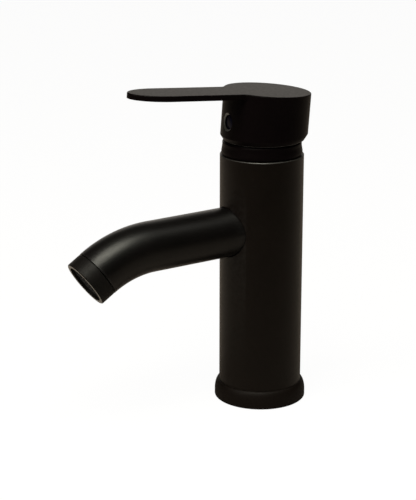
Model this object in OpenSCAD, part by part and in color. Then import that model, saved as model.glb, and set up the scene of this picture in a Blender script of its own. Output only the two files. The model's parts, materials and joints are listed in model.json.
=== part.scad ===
// Single-lever basin mixer faucet. A tubular body stands on a base flange and carries a
// curved spout. A lever handle tilts and turns a square stem, and the stem slides one
// ceramic disc over another inside a 35 mm cartridge.
// Sizes are in millimetres and +Z is up. The origin is the centre of the base, on the
// deck. The spout and the lever point along -Y, and the hot side is -X.

/* [Body] */
// Outside diameter of the tubular body
body_d = 45; // [44.8:0.1:45.2]
// Height of the body's top rim above the deck
body_top = 137.5; // [137.3:0.1:137.7]
// Wall of the body tube
body_wall = 1.5; // [1.4:0.1:1.6]
// Diameter of the base flange
base_d = 50; // [49:0.5:52]
// Height of the base flange
base_h = 9.5; // [9:0.5:10]
// Diameter of the clearance hole in the base flange
base_hole_d = 35; // [34:0.5:36]

/* [Spout] */
// Outside diameter of the spout tube
spout_d = 26.8; // [26.6:0.1:27]
// Inside diameter of the spout tube
spout_bore_d = 22; // [21:0.5:22.5]
// Height of the spout's axis where it meets the body's axis
spout_z = 97.4; // [96.8:0.2:97.4]
// Downward slope of the spout's straight part, in degrees
spout_slope = 1.5; // [1:0.1:2]
// Straight length of the spout, from the body's axis
spout_straight = 67.5; // [60:0.5:75]
// Radius of the spout's bend, on its axis
spout_bend_r = 58; // [52:1:65]
// Angle of the spout's bend, in degrees
spout_bend = 32.5; // [25:0.5:40]

/* [Aerator] */
// Visible length of the aerator collar, with its groove
aerator_h = 8.75; // [8:0.25:9]
// Outside diameter of the aerator collar
aerator_d = 26.6; // [26.4:0.1:26.6]
// Diameter of the aerator thread, as on an M24x1 fitting
aerator_thread_d = 24; // [23.8:0.1:24]
// Depth of the insert's face inside the mouth
mouth_depth = 1.8; // [1.5:0.1:2.5]

/* [Handle] */
// Diameter of the handle's round cap
cap_d = 46.6; // [46.4:0.1:46.8]
// Backward lean of the handle when the water is off, in degrees
handle_tilt = 4.5; // [4:0.1:5]
// Height of the tilting pin above the deck
pivot_z = 139; // [138.9:0.1:139.1]
// Distance of the cap's axis behind the tilting pin
cap_back = 0.48; // [0.3:0.02:0.6]
// Distance of the handle's top face from the tilting pin
cap_top = 32.75; // [32:0.25:34]
// Height of the cap's lower edge above the deck
cap_low = 145.6; // [145.5:0.1:146]
// Reach of the lever from the cap's axis to its tip
lever_reach = 82.3; // [75:0.5:95]
// Length of the lever's rounded tip
lever_tip = 19.3; // [15:0.5:25]
// Width of the lever
lever_w = 24.2; // [22:0.2:28]
// Thickness of the lever
lever_t = 2.9; // [2.5:0.1:3.2]
// Radius of the fillets between the lever and the cap
lever_fillet = 4.5; // [3:0.5:8]
// Diameter of the hole for the index plug
index_d = 7.8; // [7:0.1:8]
// Distance of the index plug and set screw from the tilting pin
index_h = 16; // [15.8:0.1:16.2]

/* [Cover ring] */
// Diameter of the cover ring at its foot
cover_d = 43.4; // [43:0.1:43.4]
// Diameter of the cover ring at its shoulder
cover_top_d = 42.4; // [42:0.1:42.4]
// Radius of the cover ring's dome about the tilting pin
dome_r = 20.9; // [20.6:0.1:21]
// Diameter of the opening in the dome
dome_open_d = 34; // [33:0.5:34.5]

/* [Cartridge] */
// Outside diameter of the cartridge
cartridge_d = 35; // [34.9:0.1:35]
// Height of the cartridge's underside above the deck
cartridge_z = 114.5; // [114.4:0.1:114.6]
// Side of the square stem
stem_w = 8; // [7.6:0.1:8]
// Distance from the tilting pin down to the stem's ball
ball_arm = 9; // [8.8:0.1:9]
// Diameter of the stem's ball
ball_d = 4.8; // [4.4:0.1:4.8]
// Diameter of the tilting pin
pin_d = 3; // [2.8:0.1:3]

/* [Inlets] */
// Distance of each inlet from the middle plane
inlet_x = 9.5; // [9.4:0.1:9.6]
// Place of the inlets in front of the body's axis
inlet_y = -4; // [-4.2:0.1:-3.8]
// Bore of the M10x1 hose ports
port_d = 9; // [8.9:0.05:9]
// Depth of the hose ports
port_depth = 11; // [10:0.5:11]
// Bore of the M8 stud hole
stud_d = 6.8; // [6.7:0.05:6.9]
// Depth of the stud hole
stud_depth = 12; // [10:0.5:13]
// Distance of the stud hole behind the body's axis
stud_y = 10; // [9:0.5:11]

/* [Hidden] */
$fn = 96;

// A cut runs this far past the face it opens
past = 1;
// Shapes of one solid run into each other by this much
lap = 0.1;
// Play of a fitted piece in its bore, on the radius
play = 0.1;
paint_black = [0.07, 0.07, 0.07];
edge_black = [0.12, 0.12, 0.12];
brass = [0.78, 0.63, 0.32];
steel = [0.72, 0.73, 0.75];
copper = [0.75, 0.45, 0.30];
white_plastic = [0.88, 0.88, 0.86];
grey_plastic = [0.45, 0.47, 0.50];
rubber = [0.13, 0.13, 0.14];
seal_red = [0.60, 0.16, 0.12];
ceramic = [0.93, 0.92, 0.88];
index_blue = [0.10, 0.10, 0.32];

body_r = body_d / 2;
bore_r = body_r - body_wall;
rim_chamfer = 0.4;

// Base flange: a foot, a rounded shoulder and a ledge under the inlet block
base_r = base_d / 2;
base_foot_h = 3;
base_edge_r = 0.5;
ledge_z = 6;
block_r = bore_r - play;
base_recess_r = bore_r - play / 2;
gasket_r = 22;
gasket_w = 3;
gasket_h = 2.5;

// Waterways: inlet block at the foot, seat block below the cartridge, risers between
block_top = 24;
riser_r = 5;
riser_bore_r = 3.5;
riser_socket = 5;
riser_low = block_top - riser_socket;
seat_z = 76;
seat_land_h = 6.5;
waist_r = 15.4;
waist_top = cartridge_z - 3.7;
cup_r = cartridge_d / 2 + play;
cup_outer_r = 19.9;
cup_step_z = body_top - 3.5;
cup_top = 143;
outlet_y = 8.5;
outlet_r = 4.2;
cross_r = 4.5;
seal_section_r = 1.05;
seal_groove_h = 2.4;
seal_groove_r = bore_r - 2 * seal_section_r;
lower_seal_z = seat_z + seat_land_h / 2;
upper_seal_z = cartridge_z - 1.9;

// Cartridge, from its base up
base_flange_h = 1;
base_plate_h = 3;
disc_seal_h = 1;
fixed_disc_h = 3.5;
moving_disc_h = 3;
film = 0.02;
housing_r = cartridge_d / 2;
housing_bore_r = 15.7;
disc_seal_edge = 0.5;
shoulder_z = 140;
shoulder_t = 1.5;
collar_r = 13;
collar_bore_r = 11;
collar_top = 146;
port_seal_h = 2;
port_seal_w = 1.7;
port_web = 1;
locating_pin_r = 1.6;
locating_pin_h = 3;
locating_pin_at = [13, 6];
plate_z = cartridge_z + base_flange_h;
disc_seal_z = plate_z + base_plate_h;
fixed_disc_z = disc_seal_z + disc_seal_h;
moving_disc_z = fixed_disc_z + fixed_disc_h + film;
carrier_z = moving_disc_z + moving_disc_h;
disc_inlet = [6.2, -4.5];
disc_inlet_r = 2.6;
disc_outlet_y = 5.5;
carrier_h = 5.5;
carrier_flange_h = 1;
carrier_r = 12.8;
moving_disc_r = 11.5;
chamber_h = 1.8;
chamber_front = [-1.5, 4.5];
chamber_back = [3, 5.5];
carrier_skirt = 2;
socket_play = 0.15;
socket_r = ball_d / 2 + socket_play;
socket_floor = 1.2;
carrier_y = -ball_arm * sin(handle_tilt);
moving_disc_y = carrier_y + 2;
glide_h = 0.5;
rotor_r = collar_bore_r - play;
rotor_flange_r = 15.2;
rotor_low = 133.5;
rotor_flange_top = shoulder_z - shoulder_t - glide_h - play / 2;
rotor_top = collar_top + 0.3;
rail_in = 9.2;
rail_out = 12.2;
rail_len = 9;
rail_low = carrier_z + carrier_flange_h + 0.6;
slot_w = stem_w + 2 * play;
slot_near = 4.6;
slot_far = 7.7;
slot_low_far = 5.7;
pin_len = 2 * rotor_r - 1.8;
pin_play = 0.05;
nut_thread_r = 18.6;
nut_bore_r = collar_r + 0.1;
nut_flats = 30;
nut_top = 146;

// Handle, measured from the tilting pin along the cap's own axis
cap_r = cap_d / 2;
cap_bore_r = 21.45;
cap_edge = 0.2;
cap_roof = 29.2;
cap_chamfer_h = 3.2;
cap_chamfer_w = 1.9;
cap_edge_y = 1;
boss_r = 7.2;
boss_low = 12.3;
stem_top = 27;
stem_low = -4;
stem_neck_r = 1.9;
screw_r = 2.5;
screw_len = 6;
screw_key = 2.5;
screw_key_depth = 2.6;
index_r = index_d / 2;
index_recess = 1.3;
index_len = 2.6;
index_sink = 0.7;
index_pad_r = 5.2;
index_pad_y = 19;

// Cover ring
cover_spigot_z = body_top - 3.4;
cover_spigot_r = bore_r - play;
cover_gap_h = 0.7;
cover_gap_r = 21.1;
cover_gap_rise = 0.2;
cover_foot_h = 2;
cover_taper_h = 3;
cover_shoulder_z = 143.8;
cover_round = 0.8;
cover_wall = 1.2;
cover_thread_r = cup_outer_r + play / 2;
cover_lid_z = 143.2;

// Spout and aerator
spout_r = spout_d / 2;
spout_bore_r = spout_bore_d / 2;
aerator_r = aerator_d / 2;
aerator_thread_r = aerator_thread_d / 2;
aerator_thread_len = 4.3;
aerator_chamfer = 0.4;
groove_w = 0.45;
groove_r = aerator_r - 0.5;
mouth_r = 11;
insert_top = -9.6;
screen_h = 0.6;
housing_neck_r = 9.5;
washer_h = 1.5;
thread_end = -(aerator_h + aerator_thread_len);
washer_end = thread_end - washer_h;
mouth_plate_h = 1.4;
mesh_pitch = 2.6;
mesh_wall = 0.5;
screen_pitch = 2;
screen_wall = 0.6;

// Points along an arc round (cx, cy), from angle a0 to a1
function arc(cx, cy, r, a0, a1, n = 10) =
    [for (i = [0:n]) [cx + r * cos(a0 + (a1 - a0) * i / n), cy + r * sin(a0 + (a1 - a0) * i / n)]];

// Points along a quarter of an ellipse with half-axes rx and ry, from (rx, 0) to (0, ry)
function quarter(cx, cy, rx, ry, n = 12) =
    [for (i = [0:n]) [cx + rx * cos(90 * i / n), cy + ry * sin(90 * i / n)]];

// A ring round +Z
module ring(z, h, outer, inner) {
    translate([0, 0, z])
        difference() {
            cylinder(r = outer, h = h);
            translate([0, 0, -past])
                cylinder(r = inner, h = h + 2 * past);
        }
}

// A round bore from z upwards
module bore(x, y, z, h, r) {
    translate([x, y, z])
        cylinder(r = r, h = h);
}

// Both inlets' places
module each_inlet() {
    for (side = [-1, 1])
        translate([side * inlet_x, inlet_y, 0])
            children();
}

// Frame of the spout: +X runs forward along the tube, from the body's axis
module spout_frame() {
    translate([0, 0, spout_z])
        rotate([0, spout_slope, -90])
            children();
}

// Frame of the spout's mouth: +Z points out of the spout, and z = 0 is the end face
module mouth_frame() {
    spout_frame()
        translate([
            spout_straight + spout_bend_r * sin(spout_bend),
            0,
            -spout_bend_r * (1 - cos(spout_bend))
        ])
            rotate([0, spout_bend, 0])
                translate([aerator_h, 0, 0])
                    rotate([0, 90, 0])
                        children();
}

// A tube along the spout's axis, from the body's axis to the aerator's groove
module spout_pipe(outer, inner) {
    spout_frame() {
        rotate([0, 90, 0])
            ring(0, spout_straight, outer, inner);
        translate([spout_straight, 0, -spout_bend_r])
            rotate([-90, 0, 0])
                rotate([0, 0, -90])
                    rotate_extrude(angle = spout_bend)
                        translate([spout_bend_r, 0])
                            difference() {
                                circle(r = outer);
                                circle(r = inner);
                            }
    }
}

// Frame of the handle: the tilting pin is at the origin and +Z is the cap's axis
module handle_frame() {
    translate([0, 0, pivot_z])
        rotate([-handle_tilt, 0, 0])
            children();
}

// Frame of the index plug and set screw: +Z points forward, out of the cap
module index_frame() {
    handle_frame()
        translate([0, 0, index_h])
            rotate([90, 0, 0])
                children();
}

// Hexagonal holes in a honeycomb of the given pitch, inside radius r
module honeycomb(r, pitch, wall, z, h) {
    row = pitch * sqrt(3) / 2;
    hole_r = (pitch - wall) / sqrt(3);
    n = ceil(r / row);
    for (j = [-n:n])
        for (i = [-n:n]) {
            x = i * pitch + (abs(j) % 2) * pitch / 2;
            y = j * row;
            if (sqrt(x * x + y * y) + hole_r < r)
                translate([x, y, z])
                    rotate([0, 0, 30])
                        cylinder(r = hole_r, h = h, $fn = 6);
        }
}

module base_gasket() {
    color(rubber)
        ring(0, gasket_h, gasket_r + gasket_w / 2, gasket_r - gasket_w / 2);
}

module base_ring() {
    shoulder = quarter(body_r, base_foot_h, base_r - body_r, base_h - base_foot_h);
    color(paint_black)
        difference() {
            rotate_extrude()
                polygon(concat(
                    [[base_hole_d / 2, 0]],
                    arc(base_r - base_edge_r, base_edge_r, base_edge_r, -90, 0, 4),
                    shoulder,
                    [
                        [base_recess_r, base_h],
                        [base_recess_r, ledge_z],
                        [base_hole_d / 2, ledge_z]
                    ]
                ));
            ring(-past, gasket_h + past, gasket_r + gasket_w / 2, gasket_r - gasket_w / 2);
        }
}

module inlet_block() {
    color(brass)
        difference() {
            bore(0, 0, ledge_z, block_top - ledge_z, block_r);
            each_inlet() {
                bore(0, 0, ledge_z - past, port_depth + past, port_d / 2);
                bore(0, 0, ledge_z, block_top, riser_bore_r);
                bore(0, 0, riser_low, riser_socket + past, riser_r);
            }
            bore(0, stud_y, ledge_z - past, stud_depth + past, stud_d / 2);
        }
}

module riser(side) {
    color(copper)
        translate([side * inlet_x, inlet_y, 0])
            ring(riser_low, seat_z + riser_socket - riser_low, riser_r, riser_bore_r);
}

module hot_riser() {
    riser(-1);
}

module cold_riser() {
    riser(1);
}

// The seat block's turned outline: two lands with seal grooves, a waist and a cup
module seat_outline() {
    rotate_extrude()
        polygon([
            [0, seat_z],
            [block_r, seat_z],
            [block_r, lower_seal_z - seal_groove_h / 2],
            [seal_groove_r, lower_seal_z - seal_groove_h / 2],
            [seal_groove_r, lower_seal_z + seal_groove_h / 2],
            [block_r, lower_seal_z + seal_groove_h / 2],
            [block_r, seat_z + seat_land_h],
            [waist_r, seat_z + seat_land_h],
            [waist_r, waist_top],
            [block_r, waist_top],
            [block_r, upper_seal_z - seal_groove_h / 2],
            [seal_groove_r, upper_seal_z - seal_groove_h / 2],
            [seal_groove_r, upper_seal_z + seal_groove_h / 2],
            [block_r, upper_seal_z + seal_groove_h / 2],
            [block_r, cup_step_z],
            [cup_outer_r, cup_step_z],
            [cup_outer_r, cup_top],
            [nut_thread_r, cup_top],
            [nut_thread_r, shoulder_z],
            [cup_r, shoulder_z],
            [cup_r, cartridge_z],
            [0, cartridge_z]
        ]);
}

module cartridge_seat() {
    color(brass)
        difference() {
            seat_outline();
            each_inlet() {
                bore(0, 0, seat_z - past, riser_socket + past, riser_r);
                bore(0, 0, seat_z, cartridge_z - seat_z + past, riser_bore_r);
            }
            bore(0, outlet_y, spout_z, cartridge_z - spout_z + past, outlet_r);
            spout_frame()
                translate([-outlet_y, 0, 0])
                    rotate([0, 90, 0])
                        cylinder(r = cross_r, h = outlet_y + body_r);
            for (side = [-1, 1])
                bore(
                    side * locating_pin_at[0], locating_pin_at[1],
                    cartridge_z - locating_pin_h, locating_pin_h + past, locating_pin_r
                );
        }
}

// An O-ring in the groove of the seat block
module seat_seal(z) {
    color(rubber)
        translate([0, 0, z])
            rotate_extrude()
                translate([bore_r - seal_section_r, 0])
                    circle(r = seal_section_r, $fn = 32);
}

module lower_seat_seal() {
    seat_seal(lower_seal_z);
}

module upper_seat_seal() {
    seat_seal(upper_seal_z);
}

module body_shell() {
    color(paint_black)
        difference() {
            rotate_extrude()
                polygon([
                    [bore_r, base_h],
                    [body_r, base_h],
                    [body_r, body_top - rim_chamfer],
                    [body_r - rim_chamfer, body_top],
                    [bore_r, body_top]
                ]);
            spout_frame()
                rotate([0, 90, 0])
                    cylinder(r = spout_r, h = 2 * body_r);
        }
}

module spout_tube() {
    color(paint_black)
        difference() {
            spout_pipe(spout_r, spout_bore_r);
            cylinder(r = bore_r, h = body_top);
            mouth_frame()
                translate([0, 0, washer_end])
                    cylinder(r = aerator_thread_r, h = past - washer_end);
        }
}

module aerator_housing() {
    color(edge_black)
        mouth_frame()
            rotate_extrude()
                polygon([
                    [mouth_r, 0],
                    [aerator_r - aerator_chamfer, 0],
                    [aerator_r, -aerator_chamfer],
                    [aerator_r, -aerator_h + groove_w],
                    [groove_r, -aerator_h + groove_w],
                    [groove_r, -aerator_h],
                    [aerator_thread_r, -aerator_h],
                    [aerator_thread_r, thread_end],
                    [housing_neck_r, thread_end],
                    [housing_neck_r, insert_top - screen_h],
                    [mouth_r, insert_top - screen_h]
                ]);
}

module aerator_washer() {
    color(rubber)
        mouth_frame()
            ring(washer_end, washer_h, aerator_thread_r, housing_neck_r);
}

module aerator_screen() {
    color(steel)
        mouth_frame()
            difference() {
                translate([0, 0, insert_top - screen_h])
                    cylinder(r = mouth_r, h = screen_h);
                honeycomb(
                    housing_neck_r, screen_pitch, screen_wall,
                    insert_top - screen_h - past, screen_h + 2 * past
                );
            }
}

module aerator_insert() {
    color(grey_plastic)
        mouth_frame() {
            ring(insert_top, -insert_top - mouth_depth, mouth_r, housing_neck_r);
            difference() {
                translate([0, 0, -mouth_depth - mouth_plate_h])
                    cylinder(r = mouth_r, h = mouth_plate_h);
                honeycomb(
                    housing_neck_r, mesh_pitch, mesh_wall,
                    -mouth_depth - mouth_plate_h - past, mouth_plate_h + 2 * past
                );
            }
        }
}

// A seal round one port of the cartridge's underside
module port_seal(x, y, r) {
    color(seal_red)
        translate([x, y, 0])
            ring(cartridge_z, port_seal_h, r + port_seal_w, r);
}

module hot_port_seal() {
    port_seal(-inlet_x, inlet_y, riser_bore_r);
}

module cold_port_seal() {
    port_seal(inlet_x, inlet_y, riser_bore_r);
}

module outlet_port_seal() {
    port_seal(0, outlet_y, outlet_r);
}

// The three ports as they meet the discs
module disc_ports(z, h) {
    for (side = [-1, 1])
        bore(side * disc_inlet[0], disc_inlet[1], z, h, disc_inlet_r);
    bore(0, disc_outlet_y, z, h, outlet_r);
}

module cartridge_base() {
    color(white_plastic) {
        difference() {
            union() {
                bore(0, 0, cartridge_z, base_flange_h, housing_r - play);
                bore(0, 0, plate_z, disc_seal_z - plate_z, housing_bore_r);
            }
            each_inlet() {
                bore(0, 0, cartridge_z - past, port_seal_h + past, riser_bore_r + port_seal_w);
                bore(0, 0, cartridge_z, port_seal_h + port_web, riser_bore_r);
            }
            bore(0, outlet_y, cartridge_z - past, port_seal_h + past, outlet_r + port_seal_w);
            bore(0, outlet_y, cartridge_z, port_seal_h + port_web, outlet_r);
            disc_ports(cartridge_z + port_seal_h, 2 * base_plate_h);
        }
        for (side = [-1, 1])
            bore(
                side * locating_pin_at[0], locating_pin_at[1],
                cartridge_z - locating_pin_h, locating_pin_h + base_flange_h, locating_pin_r
            );
    }
}

module disc_seal() {
    color(seal_red)
        difference() {
            bore(0, 0, disc_seal_z, disc_seal_h, housing_bore_r - disc_seal_edge);
            disc_ports(disc_seal_z - past, disc_seal_h + 2 * past);
        }
}

module fixed_disc() {
    color(ceramic)
        difference() {
            bore(0, 0, fixed_disc_z, fixed_disc_h, housing_bore_r - play);
            disc_ports(fixed_disc_z - past, fixed_disc_h + 2 * past);
        }
}

module cartridge_housing() {
    color(white_plastic)
        rotate_extrude()
            polygon([
                [housing_bore_r, plate_z],
                [housing_r, plate_z],
                [housing_r, shoulder_z],
                [collar_r, shoulder_z],
                [collar_r, collar_top],
                [collar_bore_r, collar_top],
                [collar_bore_r, shoulder_z - shoulder_t],
                [housing_bore_r, shoulder_z - shoulder_t]
            ]);
}

module glide_ring() {
    color(grey_plastic)
        ring(shoulder_z - shoulder_t - glide_h, glide_h, rotor_flange_r, collar_bore_r + 0.2);
}

module cartridge_nut() {
    color(brass)
        difference() {
            union() {
                bore(0, 0, shoulder_z, cup_top - shoulder_z, nut_thread_r);
                translate([0, 0, cup_top])
                    cylinder(r = nut_flats / sqrt(3), h = nut_top - cup_top, $fn = 6);
            }
            bore(0, 0, shoulder_z - past, nut_top, nut_bore_r);
        }
}

module neck_cover() {
    inside = dome_r - cover_wall;
    open_r = dome_open_d / 2;
    shoulder_r = cover_top_d / 2 - cover_round;
    dome_foot = asin((cover_shoulder_z + cover_round - pivot_z) / dome_r);
    color(paint_black)
        rotate_extrude()
            polygon(concat(
                [
                    [cover_thread_r, cover_spigot_z],
                    [cover_spigot_r, cover_spigot_z],
                    [cover_spigot_r, body_top],
                    [cover_gap_r, body_top],
                    [cover_gap_r, body_top + cover_gap_h],
                    [cover_d / 2, body_top + cover_gap_h + cover_gap_rise],
                    [cover_d / 2, body_top + cover_foot_h],
                    [cover_top_d / 2, body_top + cover_foot_h + cover_taper_h]
                ],
                arc(shoulder_r, cover_shoulder_z, cover_round, 0, 90, 5),
                arc(0, pivot_z, dome_r, dome_foot, acos(open_r / dome_r)),
                arc(0, pivot_z, inside, acos(open_r / inside), asin((cover_lid_z - pivot_z) / inside)),
                [[cover_thread_r, cover_lid_z]]
            ));
}

module rotor() {
    color(white_plastic)
        difference() {
            union() {
                bore(0, 0, rotor_low, rotor_flange_top - rotor_low, rotor_flange_r);
                bore(0, 0, rotor_low, rotor_top - rotor_low, rotor_r);
                for (side = [-1, 1])
                    translate([side * (rail_in + rail_out) / 2, 0, (rail_low + rotor_low) / 2])
                        cube([rail_out - rail_in, rail_len, rotor_low - rail_low + lap], center = true);
            }
            // Room for the stem to tilt from closed to open, above and below its pin
            translate([-slot_w / 2, -slot_near, pivot_z])
                cube([slot_w, slot_near + slot_far, rotor_top]);
            translate([-slot_w / 2, -slot_low_far, rotor_low - past])
                cube([slot_w, slot_low_far + slot_near, pivot_z - rotor_low + 2 * past]);
            translate([-rotor_flange_r, 0, pivot_z])
                rotate([0, 90, 0])
                    cylinder(r = pin_d / 2, h = 2 * rotor_flange_r, $fn = 48);
        }
}

module pivot_pin() {
    color(steel)
        translate([-pin_len / 2, 0, pivot_z])
            rotate([0, 90, 0])
                cylinder(r = pin_d / 2, h = pin_len, $fn = 48);
}

module moving_disc() {
    color(ceramic)
        translate([0, moving_disc_y, 0])
            difference() {
                bore(0, 0, moving_disc_z, moving_disc_h, moving_disc_r);
                // Mixing chamber in the underside
                for (part = [chamber_front, chamber_back])
                    bore(0, part[0], moving_disc_z - past, chamber_h + past, part[1]);
            }
}

module disc_carrier() {
    color(grey_plastic)
        difference() {
            translate([0, moving_disc_y, 0]) {
                ring(carrier_z - carrier_skirt, carrier_skirt + lap, carrier_r, moving_disc_r);
                bore(0, 0, carrier_z, carrier_h, carrier_r);
            }
            // Flats that slide between the rotor's rails
            for (side = [-1, 1])
                translate([side * (rail_in - play + carrier_r), 0, carrier_z + carrier_flange_h + carrier_h])
                    cube([2 * carrier_r, 4 * carrier_r, 2 * carrier_h], center = true);
            bore(0, carrier_y, carrier_z + socket_floor, carrier_h, socket_r);
        }
}

module lever_stem() {
    color(brass)
        handle_frame()
            difference() {
                union() {
                    translate([-stem_w / 2, -stem_w / 2, stem_low])
                        cube([stem_w, stem_w, stem_top - stem_low]);
                    bore(0, 0, -ball_arm, ball_arm + stem_low + lap, stem_neck_r);
                    translate([0, 0, -ball_arm])
                        sphere(r = ball_d / 2, $fn = 48);
                }
                translate([-stem_w, 0, 0])
                    rotate([0, 90, 0])
                        cylinder(r = pin_d / 2 + pin_play, h = 2 * stem_w, $fn = 48);
            }
}

// Outline of the lever seen from above, with the cap's axis at the origin
module lever_outline() {
    half = lever_w / 2;
    straight = lever_reach - lever_tip;
    fillet_x = half + lever_fillet;
    fillet_y = sqrt(pow(cap_r + lever_fillet, 2) - fillet_x * fillet_x);
    touch = cap_r / (cap_r + lever_fillet);
    polygon(concat(
        [[half, 0], [half, -straight]],
        [for (a = [6:6:174]) [half * cos(a), -straight - lever_tip * sin(a)]],
        [[-half, -straight], [-half, 0]]
    ));
    for (side = [-1, 1])
        difference() {
            polygon([
                [0, 0],
                [side * fillet_x * touch, -fillet_y * touch],
                [side * fillet_x, -fillet_y],
                [side * half, -fillet_y]
            ]);
            translate([side * fillet_x, -fillet_y])
                circle(r = lever_fillet);
        }
}

// The handle before it is hollowed
module handle_blank() {
    translate([0, cap_back, 0]) {
        cylinder(r = cap_r, h = cap_top);
        translate([0, 0, cap_top - lever_t])
            linear_extrude(height = lever_t)
                lever_outline();
    }
}

// Everything above the cap's level, chamfered lower edge
module above_cap_edge() {
    far = 200;
    edge_r = cap_bore_r + cap_edge;
    translate([0, cap_edge_y, cap_low])
        rotate_extrude()
            polygon([
                [0, 0],
                [edge_r, 0],
                [edge_r + cap_chamfer_w, cap_chamfer_h],
                [far, cap_chamfer_h],
                [far, far],
                [0, far]
            ]);
}

module handle() {
    color(paint_black)
        difference() {
            intersection() {
                handle_frame()
                    handle_blank();
                above_cap_edge();
            }
            handle_frame()
                difference() {
                    translate([0, cap_back, -past])
                        cylinder(r = cap_bore_r, h = cap_roof + past);
                    bore(0, 0, boss_low, cap_roof, boss_r);
                    translate([0, -index_pad_y, index_h])
                        rotate([90, 0, 0])
                            cylinder(r = index_pad_r, h = cap_r);
                }
            handle_frame()
                translate([-stem_w / 2, -stem_w / 2, 0])
                    cube([stem_w, stem_w, stem_top]);
            index_frame() {
                cylinder(r = screw_r, h = index_pad_y - past, $fn = 48);
                translate([0, 0, index_pad_y - past])
                    cylinder(r = index_r, h = cap_r, $fn = 64);
                translate([0, 0, cap_r - cap_back - index_sink])
                    cylinder(r1 = index_r, r2 = index_r + 2 * index_sink, h = 2 * index_sink, $fn = 64);
            }
        }
}

module handle_screw() {
    color(steel)
        index_frame()
            translate([0, 0, stem_w / 2])
                difference() {
                    cylinder(r = screw_r, h = screw_len, $fn = 48);
                    translate([0, 0, screw_len - screw_key_depth])
                        cylinder(r = screw_key / sqrt(3), h = screw_key_depth + past, $fn = 6);
                }
}

module index_plug() {
    color(index_blue)
        index_frame()
            translate([0, 0, cap_r - cap_back - index_recess - index_len])
                cylinder(r = index_r, h = index_len, $fn = 64);
}

base_gasket();
base_ring();
inlet_block();
hot_riser();
cold_riser();
cartridge_seat();
lower_seat_seal();
upper_seat_seal();
body_shell();
spout_tube();
aerator_housing();
aerator_washer();
aerator_screen();
aerator_insert();
hot_port_seal();
cold_port_seal();
outlet_port_seal();
cartridge_base();
disc_seal();
fixed_disc();
cartridge_housing();
glide_ring();
cartridge_nut();
neck_cover();
rotor();
pivot_pin();
moving_disc();
disc_carrier();
lever_stem();
handle();
handle_screw();
index_plug();
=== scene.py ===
"""Dresses the basin mixer: modelled pieces, procedural finishes, a plain studio and a camera."""

import json
import logging
import math
from dataclasses import dataclass, field
from enum import Enum
from functools import cache
from typing import Callable, ClassVar, Iterable, Mapping, Sequence

import bmesh
import bpy
from mathutils import Matrix, Vector


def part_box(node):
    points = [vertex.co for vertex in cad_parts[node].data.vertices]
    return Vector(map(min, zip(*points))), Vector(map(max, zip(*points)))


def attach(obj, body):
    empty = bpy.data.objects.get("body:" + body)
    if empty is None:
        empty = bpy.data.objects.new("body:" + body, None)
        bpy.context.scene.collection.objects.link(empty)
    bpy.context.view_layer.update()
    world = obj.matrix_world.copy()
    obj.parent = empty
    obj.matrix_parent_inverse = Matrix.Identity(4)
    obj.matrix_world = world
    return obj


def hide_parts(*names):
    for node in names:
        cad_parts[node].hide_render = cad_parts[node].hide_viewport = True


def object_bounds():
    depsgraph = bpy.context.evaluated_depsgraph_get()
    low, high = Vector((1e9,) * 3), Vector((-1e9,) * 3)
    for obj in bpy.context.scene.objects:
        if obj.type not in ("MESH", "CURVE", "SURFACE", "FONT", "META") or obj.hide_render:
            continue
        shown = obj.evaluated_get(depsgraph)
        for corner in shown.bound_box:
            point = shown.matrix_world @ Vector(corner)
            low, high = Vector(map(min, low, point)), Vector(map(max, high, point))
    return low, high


LOG = logging.getLogger("basin_mixer")
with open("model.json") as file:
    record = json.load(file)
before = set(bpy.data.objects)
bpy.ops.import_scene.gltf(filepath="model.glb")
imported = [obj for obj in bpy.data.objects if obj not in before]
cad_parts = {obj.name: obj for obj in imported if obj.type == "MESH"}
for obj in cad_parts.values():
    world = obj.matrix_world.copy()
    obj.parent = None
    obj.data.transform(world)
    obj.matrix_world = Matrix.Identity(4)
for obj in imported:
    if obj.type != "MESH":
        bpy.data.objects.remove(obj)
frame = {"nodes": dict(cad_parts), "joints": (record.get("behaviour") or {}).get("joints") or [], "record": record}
CAD_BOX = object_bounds()

# Meshes are shaped in millimetres and are scaled to metres when they become pieces
MM = 0.001

# Points nearer than this are taken for one
TOUCHING = 1e-3
# How far a point may be off a round wall, and off a face that a cut made
WALL_PLAY = 0.01
CUT_PLAY = 0.02
# Wall of the body tube, which the spout and the cover ring are fitted to
BODY_WALL = 1.5

Colour = tuple[float, float, float]
Point = tuple[float, float]
Socket = bpy.types.NodeSocket
Inputs = Mapping[str | int, object]
Tree = bpy.types.NodeTree
Thing = bpy.types.Object
Vert = bmesh.types.BMVert
Edge = bmesh.types.BMEdge
Face = bmesh.types.BMFace


class Body(Enum):
    """The bodies of the mixer that modelled pieces ride on."""

    FAUCET = "faucet_body"
    HANDLE = "handle_set"


class Slot(Enum):
    """The record's material slots."""

    BLACK_PAINT = "black_paint"
    BLACK_COLLAR = "black_collar"
    BRASS = "brass"
    COPPER = "copper"
    STEEL = "steel"
    RUBBER = "rubber"
    SEAL_RED = "seal_red"
    CARTRIDGE_WHITE = "cartridge_white"
    GLIDE_GREY = "glide_grey"
    AERATOR_PLASTIC = "aerator_plastic"
    CERAMIC = "ceramic"
    INDEX_BLUE = "index_blue"


class Combine(Enum):
    """How one solid is combined with another."""

    CUT = "DIFFERENCE"
    JOIN = "UNION"


def turn(degrees: float, axis: str) -> Matrix:
    """Returns a turn about an axis, which is X, Y or Z."""
    return Matrix.Rotation(math.radians(degrees), 4, axis)


def shift(x: float, y: float, z: float) -> Matrix:
    """Returns a shift along the three axes."""
    return Matrix.Translation((x, y, z))


def near(value: float, wanted: float, play: float = TOUCHING) -> bool:
    """Says whether a value is at the wanted one, within some play."""
    return abs(value - wanted) <= play


def opaque(colour: Colour) -> tuple[float, ...]:
    """Returns a colour with the full alpha that sockets ask for."""
    return (*colour, 1.0)


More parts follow.
